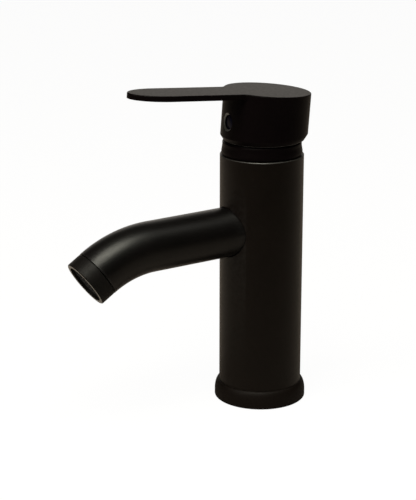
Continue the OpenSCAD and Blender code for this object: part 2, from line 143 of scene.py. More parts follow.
def arc(centre: Point, radii: Point, start: float, end: float, steps: int) -> list[Point]:
    """Works out points along an arc.

    Args:
        centre: The arc's centre.
        radii: Its radii along the first and the second coordinate.
        start: Angle of the first point.
        end: Angle of the last point.
        steps: Number of stretches between them.

    Returns:
        The points, both ends included.
    """
    angles = [start + (end - start) * i / steps for i in range(steps + 1)]
    (x, y), (across, up) = centre, radii
    return [(x + across * math.cos(angle), y + up * math.sin(angle)) for angle in angles]


def stand(name: str, data: bpy.types.ID) -> Thing:
    """Makes an object and puts it in the scene.

    Args:
        name: The object's name.
        data: Its mesh, lamp or camera.

    Returns:
        The object.
    """
    thing = bpy.data.objects.new(name, data)
    bpy.context.scene.collection.objects.link(thing)
    return thing


@dataclass(frozen=True)
class Extent:
    """The box of a CAD node, in millimetres."""

    low: Vector
    high: Vector

    @classmethod
    def of(cls, node: str) -> "Extent":
        """Returns the box of a CAD node."""
        low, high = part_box(node)
        return cls(low / MM, high / MM)

    @property
    def radius(self) -> float:
        """Half the width, which is the radius of a round piece."""
        return (self.high.x - self.low.x) / 2

    @property
    def bottom(self) -> float:
        """Height of the lowest point."""
        return self.low.z

    @property
    def top(self) -> float:
        """Height of the highest point."""
        return self.high.z


@dataclass(frozen=True)
class SpoutLine:
    """The course of the spout, from the body's axis to the mouth."""

    height: float = 97.4  # Height of its axis where it meets the body's axis
    slope: float = 1.5  # Fall of the straight part, in degrees
    straight: float = 67.5  # Length of the straight part
    bend_radius: float = 58.0  # Radius of the bend, on the axis
    bend: float = 32.5  # Angle of the bend, in degrees
    collar: float = 8.75  # Length of the aerator's collar

    def start(self) -> Matrix:
        """Returns the frame whose +X runs forward along the straight part."""
        return shift(0, 0, self.height) @ turn(-90, "Z") @ turn(self.slope, "Y")

    def mouth(self) -> Matrix:
        """Works out the frame of the mouth.

        Returns:
            The frame, with +Z out of the mouth and z = 0 on its face.
        """
        angle = math.radians(self.bend)
        along = self.straight + self.bend_radius * math.sin(angle)
        down = self.bend_radius * (1 - math.cos(angle))
        bent = self.start() @ shift(along, 0, -down) @ turn(self.bend, "Y")
        return bent @ shift(self.collar, 0, 0) @ turn(90, "Y")


@dataclass(frozen=True)
class LeverPose:
    """How the handle stands on its tilting pin when the water is off."""

    lean: float = 4.5  # Backward lean of the cap's axis, in degrees
    index_rise: float = 16.0  # Distance of the index plug from the pin, along the cap's axis

    def cap(self) -> Matrix:
        """Works out the frame of the cap.

        Returns:
            The frame, with the pin as its origin and the cap's axis as its +Z.
        """
        lift = next(joint for joint in frame["joints"] if joint["name"] == "handle_lift")
        pin = Vector(lift["pos_m"]) / MM
        return Matrix.Translation(pin) @ turn(-self.lean, "X")

    def index(self) -> Matrix:
        """Returns the frame of the index plug, with +Z forward, out of the cap."""
        return self.cap() @ shift(0, 0, self.index_rise) @ turn(90, "X")


class Wiring:
    """Adds and joins nodes in one node tree."""

    def __init__(self, tree: Tree) -> None:
        """Works in the given tree."""
        self.tree = tree

    @classmethod
    def of(cls, owner: bpy.types.Material | bpy.types.World) -> "Wiring":
        """Starts an owner's node tree afresh.

        Args:
            owner: A material or a world.

        Returns:
            The wiring of its empty tree.
        """
        owner.use_nodes = True
        owner.node_tree.nodes.clear()
        return cls(owner.node_tree)

    def feed(self, node: bpy.types.Node, inputs: Inputs) -> None:
        """Joins sockets to a node's inputs, or sets their values.

        Args:
            node: The node.
            inputs: A socket or a value for each input's name or place.
        """
        for place, value in inputs.items():
            if isinstance(value, Socket):
                self.tree.links.new(value, node.inputs[place])
            else:
                node.inputs[place].default_value = value

    def add(self, kind: str, inputs: Inputs | None = None, **attributes: object) -> bpy.types.Node:
        """Adds a node.

        Args:
            kind: The node's type name.
            inputs: A socket or a value for each input's name or place.
            **attributes: Attributes to set on it.

        Returns:
            The new node.
        """
        node = self.tree.nodes.new(kind)
        for name, value in attributes.items():
            setattr(node, name, value)
        self.feed(node, inputs or {})
        return node

    def maths(self, operation: str, first: object, second: object) -> Socket:
        """Returns the result of an operation on two sockets or numbers."""
        return self.add("ShaderNodeMath", {0: first, 1: second}, operation=operation).outputs[0]

    def blend(self, share: Socket, first: object, second: object) -> Socket:
        """Returns the blend of two colours, by the share of the second."""
        inputs = {"Factor": share, 6: first, 7: second}
        return self.add("ShaderNodeMix", inputs, data_type="RGBA").outputs[2]

    def along(self, place: Socket, way: Vector) -> Socket:
        """Returns how far a place lies along a direction."""
        inputs = {0: place, 1: way}
        return self.add("ShaderNodeVectorMath", inputs, operation="DOT_PRODUCT").outputs["Value"]

    def noise(self, place: Socket, scale: object, detail: float = 2.0) -> Socket:
        """Returns the value of a noise at a place."""
        inputs = {"Vector": place, "Scale": scale, "Detail": detail}
        return self.add("ShaderNodeTexNoise", inputs).outputs["Fac"]

    def spread(self, value: Socket, span: Sequence[float]) -> Socket:
        """Maps a value from one range to another.

        Args:
            value: The value's socket.
            span: The source's low and high, then the result's low and high.

        Returns:
            The result's socket.
        """
        names = ("From Min", "From Max", "To Min", "To Max")
        node = self.add("ShaderNodeMapRange", {"Value": value, **dict(zip(names, span))})
        return node.outputs["Result"]

    def end(self, kind: str, lit: Socket, shown: Socket, share: float = 1.0) -> None:
        """Ends the tree with one shader for light and another for the eye.

        Args:
            kind: The output node's type name.
            lit: The shader that lights and is mirrored.
            shown: The shader that the camera sees.
            share: How much of the second the camera sees, the rest being the first.
        """
        rays = self.add("ShaderNodeLightPath").outputs
        seen = self.maths("MAXIMUM", rays["Is Camera Ray"], rays["Is Transmission Ray"])
        inputs = {"Fac": self.maths("MULTIPLY", seen, share), 1: lit, 2: shown}
        self.add(kind, {"Surface": self.add("ShaderNodeMixShader", inputs).outputs["Shader"]})


class Group(Wiring):
    """Wiring of a node group whose first input is a place on the surface."""

    def __init__(self, name: str, **inputs: float | tuple[float, ...]) -> None:
        """Starts the group.

        Args:
            name: The group's name.
            **inputs: The default of each further input, with underscores for spaces.
        """
        super().__init__(bpy.data.node_groups.new(name, "ShaderNodeTree"))
        self._socket("Vector", "INPUT", "Vector")
        for label, value in inputs.items():
            kind = "Color" if isinstance(value, tuple) else "Float"
            self._socket(label.replace("_", " "), "INPUT", kind).default_value = value
        self.given = self.add("NodeGroupInput").outputs
        self.place = self.given["Vector"]

    def _socket(self, name: str, way: str, kind: str) -> bpy.types.NodeTreeInterfaceSocket:
        """Adds a socket to the group's interface."""
        kind = f"NodeSocket{kind}"
        return self.tree.interface.new_socket(name, in_out=way, socket_type=kind)

    def give(self, **outputs: Socket) -> Tree:
        """Ends the group.

        Args:
            **outputs: The sockets of the colours and values that it gives.

        Returns:
            Its tree.
        """
        for name, socket in outputs.items():
            self._socket(name, "OUTPUT", "Color" if socket.type == "RGBA" else "Float")
        self.add("NodeGroupOutput", outputs)
        return self.tree


@cache
def paint_skin() -> Tree:
    """Builds the slight ripple and the fine tooth of sprayed matt paint.

    Returns:
        The group, which gives a height and a mask for the gloss.
    """
    group = Group("paint_skin")
    ripple = group.noise(group.place, scale=700.0, detail=2.0)
    tooth = group.noise(group.place, scale=6000.0, detail=3.0)
    tooth_share = 0.4
    height = group.maths("ADD", ripple, group.maths("MULTIPLY", tooth, tooth_share))
    return group.give(Height=height, Mask=ripple)


@cache
def tone_mottle() -> Tree:
    """Builds a slow drift between two tones.

    Returns:
        The group, which gives the colour and its mask.
    """
    grey = opaque((0.5, 0.5, 0.5))
    group = Group("tone_mottle", Scale=40.0, Tone_A=grey, Tone_B=grey)
    drift = group.noise(group.place, group.given["Scale"], detail=4.0)
    mask = group.spread(drift, (0.3, 0.7, 0.0, 1.0))
    colour = group.blend(mask, group.given["Tone A"], group.given["Tone B"])
    return group.give(Colour=colour, Mask=mask)


@cache
def turning_lines() -> Tree:
    """Builds fine lines round +Z, as a lathe tool or a polishing wheel leaves.

    Returns:
        The group, which gives a height and a mask.
    """
    group = Group("turning_lines")
    split = group.add("ShaderNodeSeparateXYZ", {"Vector": group.place}).outputs
    squares = [group.maths("MULTIPLY", split[axis], split[axis]) for axis in "XY"]
    radius = group.maths("SQRT", group.maths("ADD", *squares), 0.0)
    inputs = {"W": group.maths("ADD", radius, split["Z"]), "Scale": 6000.0, "Detail": 3.0}
    lines = group.add("ShaderNodeTexNoise", inputs, noise_dimensions="1D").outputs["Fac"]
    return group.give(Height=lines, Mask=group.spread(lines, (0.35, 0.65, 0.0, 1.0)))


@cache
def fine_specks() -> Tree:
    """Builds scattered fine specks, as in a moulded or sintered surface.

    Returns:
        The group, which gives a mask and a height.
    """
    group = Group("fine_specks")
    cells = group.add("ShaderNodeTexVoronoi", {"Vector": group.place, "Scale": 2500.0})
    distance, speck_size = cells.outputs["Distance"], 0.18
    return group.give(Mask=group.maths("LESS_THAN", distance, speck_size), Height=distance)


@cache
def edge_wear() -> Tree:
    """Finds where sharp edges are rubbed, broken up by a noise.

    Returns:
        The group, which gives a mask.
    """
    group = Group("edge_wear", Amount=0.5)
    sharpness = group.add("ShaderNodeNewGeometry").outputs["Pointiness"]
    edge = group.spread(sharpness, (0.52, 0.62, 0.0, 1.0))
    patch = group.spread(group.noise(group.place, scale=500.0), (0.35, 0.65, 0.2, 1.0))
    broken = group.maths("MULTIPLY", edge, patch)
    return group.give(Mask=group.maths("MULTIPLY", broken, group.given["Amount"]))


class Surface(Wiring):
    """Wiring of a material, with its Principled shader and its Object coordinates."""

    def __init__(self, tree: Tree) -> None:
        """Adds the shader, the output and the coordinates.

        Args:
            tree: The material's empty tree.
        """
        super().__init__(tree)
        self.shader = self.add("ShaderNodeBsdfPrincipled")
        self.add("ShaderNodeOutputMaterial", {"Surface": self.shader.outputs["BSDF"]})
        self.place = self.add("ShaderNodeTexCoord").outputs["Object"]

    def effect(self, effect: Callable[[], Tree], **inputs: object) -> Mapping[str, Socket]:
        """Places a shared effect in the material.

        Args:
            effect: The function that builds its group once.
            **inputs: Values of its inputs, with underscores for spaces.

        Returns:
            Its outputs.
        """
        given = {name.replace("_", " "): value for name, value in inputs.items()}
        given["Vector"] = self.place
        return self.add("ShaderNodeGroup", given, node_tree=effect()).outputs

    def bump(self, height: Socket, strength: float, depth: float) -> Socket:
        """Returns the normal for a height, with the bump's depth in metres."""
        inputs = {"Strength": strength, "Distance": depth, "Height": height}
        return self.add("ShaderNodeBump", inputs).outputs["Normal"]


@dataclass(frozen=True)
class Finish:
    """A procedural finish, and the record's slot that it belongs to."""

    name: str  # The material's name
    slot: Slot  # The record's slot
    colour: Colour  # Base colour, linear
    shade: Colour  # A second tone that the base colour drifts to, linear
    roughness: float  # Middle roughness
    drift: ClassVar[float]  # Scale of the drift between the two tones
    stray: ClassVar[float]  # How far the roughness strays from the middle
    relief: ClassVar[float]  # Strength of the bump

    @cache
    def material(self) -> bpy.types.Material:
        """Builds the finish's material, once.

        Returns:
            The material.
        """
        material = bpy.data.materials.new(self.name)
        self.dress(Surface.of(material))
        return material

    def dress(self, surface: Surface) -> None:
        """Sets the sockets of a surface's shader."""
        raise NotImplementedError

    def tones(self, surface: Surface) -> Mapping[str, Socket]:
        """Returns the colour and the mask of the drift between the two tones."""
        first, second = opaque(self.colour), opaque(self.shade)
        return surface.effect(tone_mottle, Scale=self.drift, Tone_A=first, Tone_B=second)

    def sheen(self, surface: Surface, mask: Socket, low: float, high: float) -> Socket:
        """Returns the roughness, which strays as a mask goes from low to high."""
        span = (low, high, self.roughness - self.stray, self.roughness + self.stray)
        return surface.spread(mask, span)


@dataclass(frozen=True)
class MattPaint(Finish):
    """Sprayed matt black paint with a faint ripple and rubbed edges."""

    gloss: float = 0.2  # Specular level of the paint
    worn: Colour = (0.05, 0.05, 0.05)  # Tone of a rubbed edge, linear
    wear: float = 0.2  # How far edges are rubbed
    depth: ClassVar[float] = 0.000012  # Depth of the paint's ripple, in metres
    drift: ClassVar[float] = 60.0
    stray: ClassVar[float] = 0.03
    relief: ClassVar[float] = 0.5

    def dress(self, surface: Surface) -> None:
        """Sets the paint's colour, sheen, ripple and rubbed edges.

        Args:
            surface: The material's surface.
        """
        tones = self.tones(surface)
        skin = surface.effect(paint_skin)
        rubbed = surface.effect(edge_wear, Amount=self.wear)["Mask"]
        surface.feed(surface.shader, {
            "Base Color": surface.blend(rubbed, tones["Colour"], opaque(self.worn)),
            "Roughness": self.sheen(surface, skin["Mask"], low=0.3, high=0.7),
            "Specular IOR Level": self.gloss,
            "Normal": surface.bump(skin["Height"], self.relief, self.depth),
        })


@dataclass(frozen=True)
class TurnedMetal(Finish):
    """Bare metal with fine turning or drawing lines."""

    depth: ClassVar[float] = 0.00001  # Depth of the lines, in metres
    drift: ClassVar[float] = 90.0
    stray: ClassVar[float] = 0.06
    relief: ClassVar[float] = 0.4

    def dress(self, surface: Surface) -> None:
        """Sets the metal's tone, lines and polish.

        Args:
            surface: The material's surface.
        """
        turning = surface.effect(turning_lines)
        surface.feed(surface.shader, {
            "Base Color": self.tones(surface)["Colour"],
            "Metallic": 1.0,
            "Roughness": self.sheen(surface, turning["Mask"], low=0.0, high=1.0),
            "Normal": surface.bump(turning["Height"], self.relief, self.depth),
        })


@dataclass(frozen=True)
class Moulded(Finish):
    """Moulded plastic, rubber or sintered ceramic with a fine texture."""

    speck: Colour = (0.5, 0.5, 0.5)  # Tone of the fine specks, linear
    coat: float = 0.0  # Weight of a clear gloss over it
    shine: float = 0.5  # Specular level
    depth: ClassVar[float] = 0.00001  # Depth of the grain, in metres
    speck_share: ClassVar[float] = 0.35  # How much of their tone the specks show
    coat_roughness: ClassVar[float] = 0.08  # Roughness of the clear gloss
    drift: ClassVar[float] = 120.0
    stray: ClassVar[float] = 0.04
    relief: ClassVar[float] = 0.3

    def dress(self, surface: Surface) -> None:
        """Sets the tone, the specks, the grain and the gloss.

        Args:
            surface: The material's surface.
        """
        tones = self.tones(surface)
        specks = surface.effect(fine_specks)
        share = surface.maths("MULTIPLY", specks["Mask"], self.speck_share)
        surface.feed(surface.shader, {
            "Base Color": surface.blend(share, tones["Colour"], opaque(self.speck)),
            "Roughness": self.sheen(surface, tones["Mask"], low=0.0, high=1.0),
            "Coat Weight": self.coat,
            "Coat Roughness": self.coat_roughness,
            "Specular IOR Level": self.shine,
            "Normal": surface.bump(specks["Height"], self.relief, self.depth),
        })


BODY_PAINT = MattPaint(
    "matt_black_body", Slot.BLACK_PAINT, (0.0021, 0.0011, 0.0005), (0.0029, 0.0015, 0.0008), 0.39,
    gloss=0.18,
)
# A darker copy of the body's paint: its darker base tone is painted shade for the dark middle band along the spout
SPOUT_PAINT = MattPaint(
    "satin_black_spout", Slot.BLACK_PAINT, (0.0007, 0.0005, 0.0004), (0.0013, 0.0009, 0.0008), 0.36,
    gloss=0.29,
)
HANDLE_PAINT = MattPaint(
    "satin_black_handle", Slot.BLACK_PAINT, (0.0016, 0.0008, 0.0010), (0.0022, 0.0012, 0.0014),
    0.40, gloss=0.05, wear=0.0,
)
FLANGE_PAINT = MattPaint(
    "matt_black_flange", Slot.BLACK_PAINT, (0.0035, 0.0022, 0.0015), (0.0043, 0.0027, 0.0019), 0.55,
    gloss=0.09,
)
# Lighter, glossier paint for the body tube's rim chamfer: its light tone is a painted highlight, on top of the
# lamp's real highlight there
RIM_HIGHLIGHT_PAINT = MattPaint(
    "rim_painted_highlight", Slot.BLACK_PAINT, (0.015, 0.015, 0.0135), (0.024, 0.024, 0.0215), 0.36,
    gloss=0.5,
)
# Lighter, glossy paint for the countersink round the index plug and the handle's lower lip: the light tone is a
# painted highlight, with the side lamp's real highlight on top
GLINT_EDGE_PAINT = MattPaint(
    "painted_glint_edge", Slot.BLACK_PAINT, (0.06, 0.06, 0.056), (0.095, 0.095, 0.088), 0.34,
    gloss=0.8, wear=0.0,
)
# Lighter, glossier paint on the collar's flat end, with pale edges
PALE_COLLAR_END = MattPaint(
    "pale_collar_end", Slot.BLACK_COLLAR, (0.05, 0.05, 0.048), (0.08, 0.08, 0.076), 0.34,
    gloss=0.6, wear=0.5, worn=(0.35, 0.35, 0.33),
)
COLLAR_PAINT = MattPaint(
    "matt_black_collar", Slot.BLACK_COLLAR, (0.0034, 0.0030, 0.0028), (0.0044, 0.0039, 0.0036),
    0.44, gloss=0.1, wear=0.2, worn=(0.20, 0.20, 0.19),
)
BRASS = TurnedMetal("turned_brass", Slot.BRASS, (0.60, 0.42, 0.14), (0.52, 0.35, 0.11), 0.30)
COPPER = TurnedMetal("drawn_copper", Slot.COPPER, (0.62, 0.30, 0.17), (0.50, 0.23, 0.13), 0.32)
STEEL = TurnedMetal("ground_steel", Slot.STEEL, (0.52, 0.52, 0.54), (0.44, 0.44, 0.46), 0.28)
RUBBER = Moulded(
    "black_rubber", Slot.RUBBER, (0.012, 0.012, 0.013), (0.018, 0.018, 0.019), 0.68,
    speck=(0.03, 0.03, 0.03),
)
SILICONE = Moulded(
    "red_silicone", Slot.SEAL_RED, (0.33, 0.03, 0.02), (0.28, 0.025, 0.016), 0.52,
    speck=(0.4, 0.06, 0.04),
)
WHITE_PLASTIC = Moulded(
    "white_acetal", Slot.CARTRIDGE_WHITE, (0.74, 0.74, 0.71), (0.68, 0.68, 0.65), 0.42,
    speck=(0.6, 0.6, 0.58),
)
GREY_PLASTIC = Moulded(
    "grey_acetal", Slot.GLIDE_GREY, (0.17, 0.18, 0.21), (0.14, 0.15, 0.175), 0.45,
    speck=(0.12, 0.13, 0.15),
)
AERATOR_PLASTIC = Moulded(
    "aerator_grey", Slot.AERATOR_PLASTIC, (0.022, 0.023, 0.024), (0.016, 0.017, 0.018), 0.6,
    speck=(0.026, 0.026, 0.028), shine=0.12,
)
CERAMIC = Moulded(
    "lapped_ceramic", Slot.CERAMIC, (0.84, 0.82, 0.76), (0.80, 0.78, 0.72), 0.22,
    speck=(0.74, 0.72, 0.66), coat=0.5,
)
# Very dark blue plug: its darkness is partly painted shade, for the shadow it sits in under the lever, deep in its
# hole
INDEX_BLUE = Moulded(
    "index_blue_plug", Slot.INDEX_BLUE, (0.0012, 0.0012, 0.011), (0.0009, 0.0009, 0.008), 0.32,
    speck=(0.002, 0.002, 0.014), shine=0.1,
)


@dataclass(frozen=True)
class Corner:
    """A corner of a turned outline."""

    r: float  # Distance from the axis
    z: float  # Height along the axis
    ease: float = 0.0  # Rounding of the edge that it makes

    def makes(self, edge: Edge) -> bool:
        """Says whether an edge is on the circle that the corner makes round +Z."""
        ends = [v.co for v in edge.verts]
        return all(near(math.hypot(p.x, p.y), self.r) and near(p.z, self.z) for p in ends)


@dataclass(frozen=True)
class RoundWall:
    """A wall round an axis, which is shaded as a true cylinder."""

    axis: Matrix  # Frame whose +Z is the axis
    radius: float  # The wall's radius

    def holds(self, point: Vector) -> bool:
        """Says whether a point, in millimetres, is on the wall."""
        local = self.axis.inverted() @ point
        return near(math.hypot(local.x, local.y), self.radius, WALL_PLAY)

    def normal(self, point: Vector) -> Vector:
        """Returns the outward normal at a point, in millimetres."""
        local = self.axis.inverted() @ point
        return (self.axis.to_3x3() @ Vector((local.x, local.y, 0))).normalized()


# A second finish on some faces of a piece, and the test for those faces
Accent = tuple[Finish, Callable[[Face], bool]]


class Shape:
    """A mesh in millimetres that operators shape, until it becomes a piece."""

    def __init__(self) -> None:
        """Starts empty."""
        self.mesh = bmesh.new()

    @classmethod
    def turned(cls, outline: Sequence[Corner], steps: int, solid: bool = False) -> "Shape":
        """Spins an outline a full turn about +Z and eases its corners.

        Args:
            outline: Its corners, in order.
            steps: Number of facets round the axis.
            solid: True if the outline runs from the axis back to the axis, and isn't a ring.

        Returns:
            The turned shape.
        """
        shape = cls()
        if solid:
            ends = [Corner(0, corner.z) for corner in (outline[0], outline[-1])]
            outline = [ends[0], *outline, *([ends[1]] if outline[-1].r else [])]
        verts = [shape.mesh.verts.new((corner.r, 0, corner.z)) for corner in outline]
        following = verts[1:] if solid else verts[1:] + verts[:1]
        edges = [shape.mesh.edges.new(pair) for pair in zip(verts, following)]
        bmesh.ops.spin(
            shape.mesh, geom=verts + edges, cent=(0, 0, 0), axis=(0, 0, 1),
            angle=math.tau, steps=steps, use_merge=True,
        )
        shape.settle()
        for corner in outline:
            if corner.ease:
                shape.ease(corner.makes, corner.ease)
        return shape

    @classmethod
    def of_node(cls, node: str) -> "Shape":
        """Copies a CAD node, merged and with its flat faces whole.

        Args:
            node: The CAD node's name.

        Returns:
            The copy.
        """
        shape = cls()
        mesh = shape.mesh
        mesh.from_mesh(frame["nodes"][node].data)
        bmesh.ops.scale(mesh, vec=(1 / MM,) * 3, verts=mesh.verts)
        bmesh.ops.remove_doubles(mesh, verts=mesh.verts, dist=2 * TOUCHING)
        flat = math.radians(0.2)
        bmesh.ops.dissolve_limit(mesh, angle_limit=flat, verts=mesh.verts, edges=mesh.edges)
        return shape

    def settle(self) -> None:
        """Merges doubled points and turns every face outwards."""
        bmesh.ops.remove_doubles(self.mesh, verts=self.mesh.verts, dist=TOUCHING)
        bmesh.ops.dissolve_degenerate(self.mesh, dist=TOUCHING / 10, edges=self.mesh.edges)
        bmesh.ops.recalc_face_normals(self.mesh, faces=self.mesh.faces)

    def ease(self, test: Callable[[Edge], bool], width: float, segments: int = 3) -> None:
        """Rounds the edges that pass a test.

        Args:
            test: Chooses the edges.
            width: Width of the rounding.
            segments: Number of facets across it.
        """
        edges = [edge for edge in self.mesh.edges if test(edge)]
        if not edges:
            LOG.warning("no edge to ease at width %.2f", width)
            return
        bmesh.ops.bevel(
            self.mesh, geom=edges, offset=width, offset_type="OFFSET", segments=segments,
            profile=0.5, affect="EDGES", material=-1, clamp_overlap=True,
        )

    def place(self, at: Matrix) -> "Shape":
        """Moves the shape into a frame and returns it."""
        bmesh.ops.transform(self.mesh, matrix=at, verts=self.mesh.verts)
        return self

    def circle(self, radius: float, at: Matrix, steps: int) -> set[Edge]:
        """Draws a circle in a frame and returns its edges."""
        made = bmesh.ops.create_circle(self.mesh, radius=radius, segments=steps, matrix=at)
        return {edge for vert in made["verts"] for edge in vert.link_edges}

    def bridge(self, first: Iterable[Edge], second: Iterable[Edge]) -> list[Face]:
        """Closes the gap between two loops of edges and returns the new faces."""
        return bmesh.ops.bridge_loops(self.mesh, edges=[*first, *second])["faces"]

    def shift_made(self, made: Iterable[Vert | Edge | Face], by: Vector) -> None:
        """Shifts the points among newly made elements."""
        verts = [element for element in made if isinstance(element, Vert)]
        bmesh.ops.translate(self.mesh, vec=by, verts=verts)

    def push(self, faces: Sequence[Face], by: Vector) -> list[Face]:
        """Extrudes faces.

        Args:
            faces: The faces.
            by: How far and which way.

        Returns:
            The faces at the new end.
        """
        edges = {edge for face in faces for edge in face.edges}
        made = bmesh.ops.extrude_face_region(self.mesh, geom=[*faces, *edges])["geom"]
        self.shift_made(made, by)
        return [element for element in made if isinstance(element, Face)]

    def _stand_in(self, name: str) -> Thing:
        """Makes a short-lived object of the mesh.

        Args:
            name: The object's name.

        Returns:
            The object.
        """
        data = bpy.data.meshes.new(name)
        self.mesh.to_mesh(data)
        return stand(name, data)

    def combine(self, how: Combine, outline: Sequence[Corner], at: Matrix, steps: int) -> None:
        """Cuts a turned solid out of the shape, or joins one to it.

        Args:
            how: Cut or join.
            outline: The solid's corners off its axis, in order.
            at: The frame that it stands in.
            steps: Number of facets round its axis.
        """
        other = Shape.turned(outline, steps, solid=True).place(at)
        kept, tool = self._stand_in("kept"), other._stand_in("tool")
        other.mesh.free()
        modifier = kept.modifiers.new("combine", "BOOLEAN")
        modifier.operation = how.value
        modifier.solver = "EXACT"
        modifier.object = tool
        self.mesh.clear()
        self.mesh.from_object(kept, bpy.context.evaluated_depsgraph_get())
        for thing in (kept, tool):
            data = thing.data
            bpy.data.objects.remove(thing)
            bpy.data.meshes.remove(data)
        self.settle()

    @staticmethod
    def _true_walls(thing: Thing, walls: Sequence[RoundWall]) -> None:
        """Keeps the weighted normals, but makes those on round walls exact.

        Args:
            thing: The piece's object, with its modifier.
            walls: Its round walls.
        """
        shown = thing.evaluated_get(bpy.context.evaluated_depsgraph_get()).data
        normals = [corner.vector.copy() for corner in shown.corner_normals]
        for face in shown.polygons:
            points = [shown.vertices[v].co / MM for v in face.vertices]
            wall = next((w for w in walls if all(map(w.holds, points))), None)
            if wall:
                for corner, point in zip(face.loop_indices, points):
                    normals[corner] = wall.normal(point)
        thing.modifiers.clear()
        thing.data.normals_split_custom_set(normals)

    def piece(
        self, name: str, body: Body, finish: Finish, replaces: Sequence[str] = (),
        crisp: float = 32.0, accent: Accent | None = None, walls: Sequence[RoundWall] = (),
    ) -> None:
        """Makes the shape a piece of the mixer.

        Args:
            name: The piece's name.
            body: The body that it rides on.
            finish: Its finish.
            replaces: The CAD nodes that it stands for.
            crisp: Angle above which an edge stays crisp, in degrees.
            accent: A second finish and the test for the faces that have it.
            walls: Its round walls, where a cut leaves uneven faces.
        """
        self.settle()
        if accent:
            for face in self.mesh.faces:
                face.material_index = int(accent[1](face))
        bmesh.ops.scale(self.mesh, vec=(MM,) * 3, verts=self.mesh.verts)
        data = bpy.data.meshes.new(name)
        self.mesh.to_mesh(data)
        self.mesh.free()
        data.polygons.foreach_set("use_smooth", [True] * len(data.polygons))
        data.set_sharp_from_angle(angle=math.radians(crisp))
        data.materials.append(finish.material())
        if accent:
            data.materials.append(accent[0].material())
        thing = stand(name, data)
        thing.modifiers.new("even_normals", "WEIGHTED_NORMAL").keep_sharp = True
        if walls:
            self._true_walls(thing, walls)
        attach(thing, body.value)
        if replaces:
            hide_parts(*replaces)
        LOG.info("%s: %d faces, on %s", name, len(data.polygons), body.value)


@dataclass(frozen=True)
class Port:
    """A threaded hole in the underside."""

    mount: str  # The record's mount at its mouth
    radius: float
    depth: float
    pitch: float  # Pitch of its thread
    has_riser: bool = True  # True if a riser stands above it
    lead: ClassVar[float] = 1.3  # Height of the plain wall before and after the thread
    ridge: ClassVar[float] = 0.3  # Height of the thread's ridge, in pitches
    half: ClassVar[float] = 0.4  # Half the width of the ridge's foot, in pitches
    sunk: ClassVar[float] = 0.1  # How deep the foot is let into the wall
    turn_steps: ClassVar[int] = 36  # Number of facets in a turn of the thread

    def place(self) -> Matrix:
        """Finds the hole in the record.

        Returns:
            The frame that has the hole's axis as its +Z, and its origin on the deck.
        """
        mount = next(m for m in frame["record"]["mounts"] if m["name"] == self.mount)
        at = Vector(mount["pos_m"]) / MM
        return shift(at.x, at.y, 0)

    def thread(self, bottom: float) -> None:
        """Sweeps the triangular ridge of the thread, which points inwards.

        Args:
            bottom: Height of the hole's mouth.
        """
        shape = Shape()
        turns = math.floor((self.depth - 2 * self.lead) / self.pitch)
        start, half = bottom + self.lead, self.half * self.pitch
        root, tip = self.radius + self.sunk, self.radius - self.ridge * self.pitch
        outline = [(root, 0, start - half), (tip, 0, start), (root, 0, start + half)]
        verts = [shape.mesh.verts.new(point) for point in outline]
        face = shape.mesh.faces.new(verts)
        steps = self.turn_steps * turns
        bmesh.ops.spin(
            shape.mesh, geom=[face, *face.edges, *verts], cent=(0, 0, 0), axis=(0, 0, 1),
            dvec=(0, 0, self.pitch * turns / steps), angle=math.tau * turns, steps=steps,
        )
        shape.settle()
        shape.place(self.place()).piece(f"{self.mount}_thread", Body.FAUCET, BRASS)


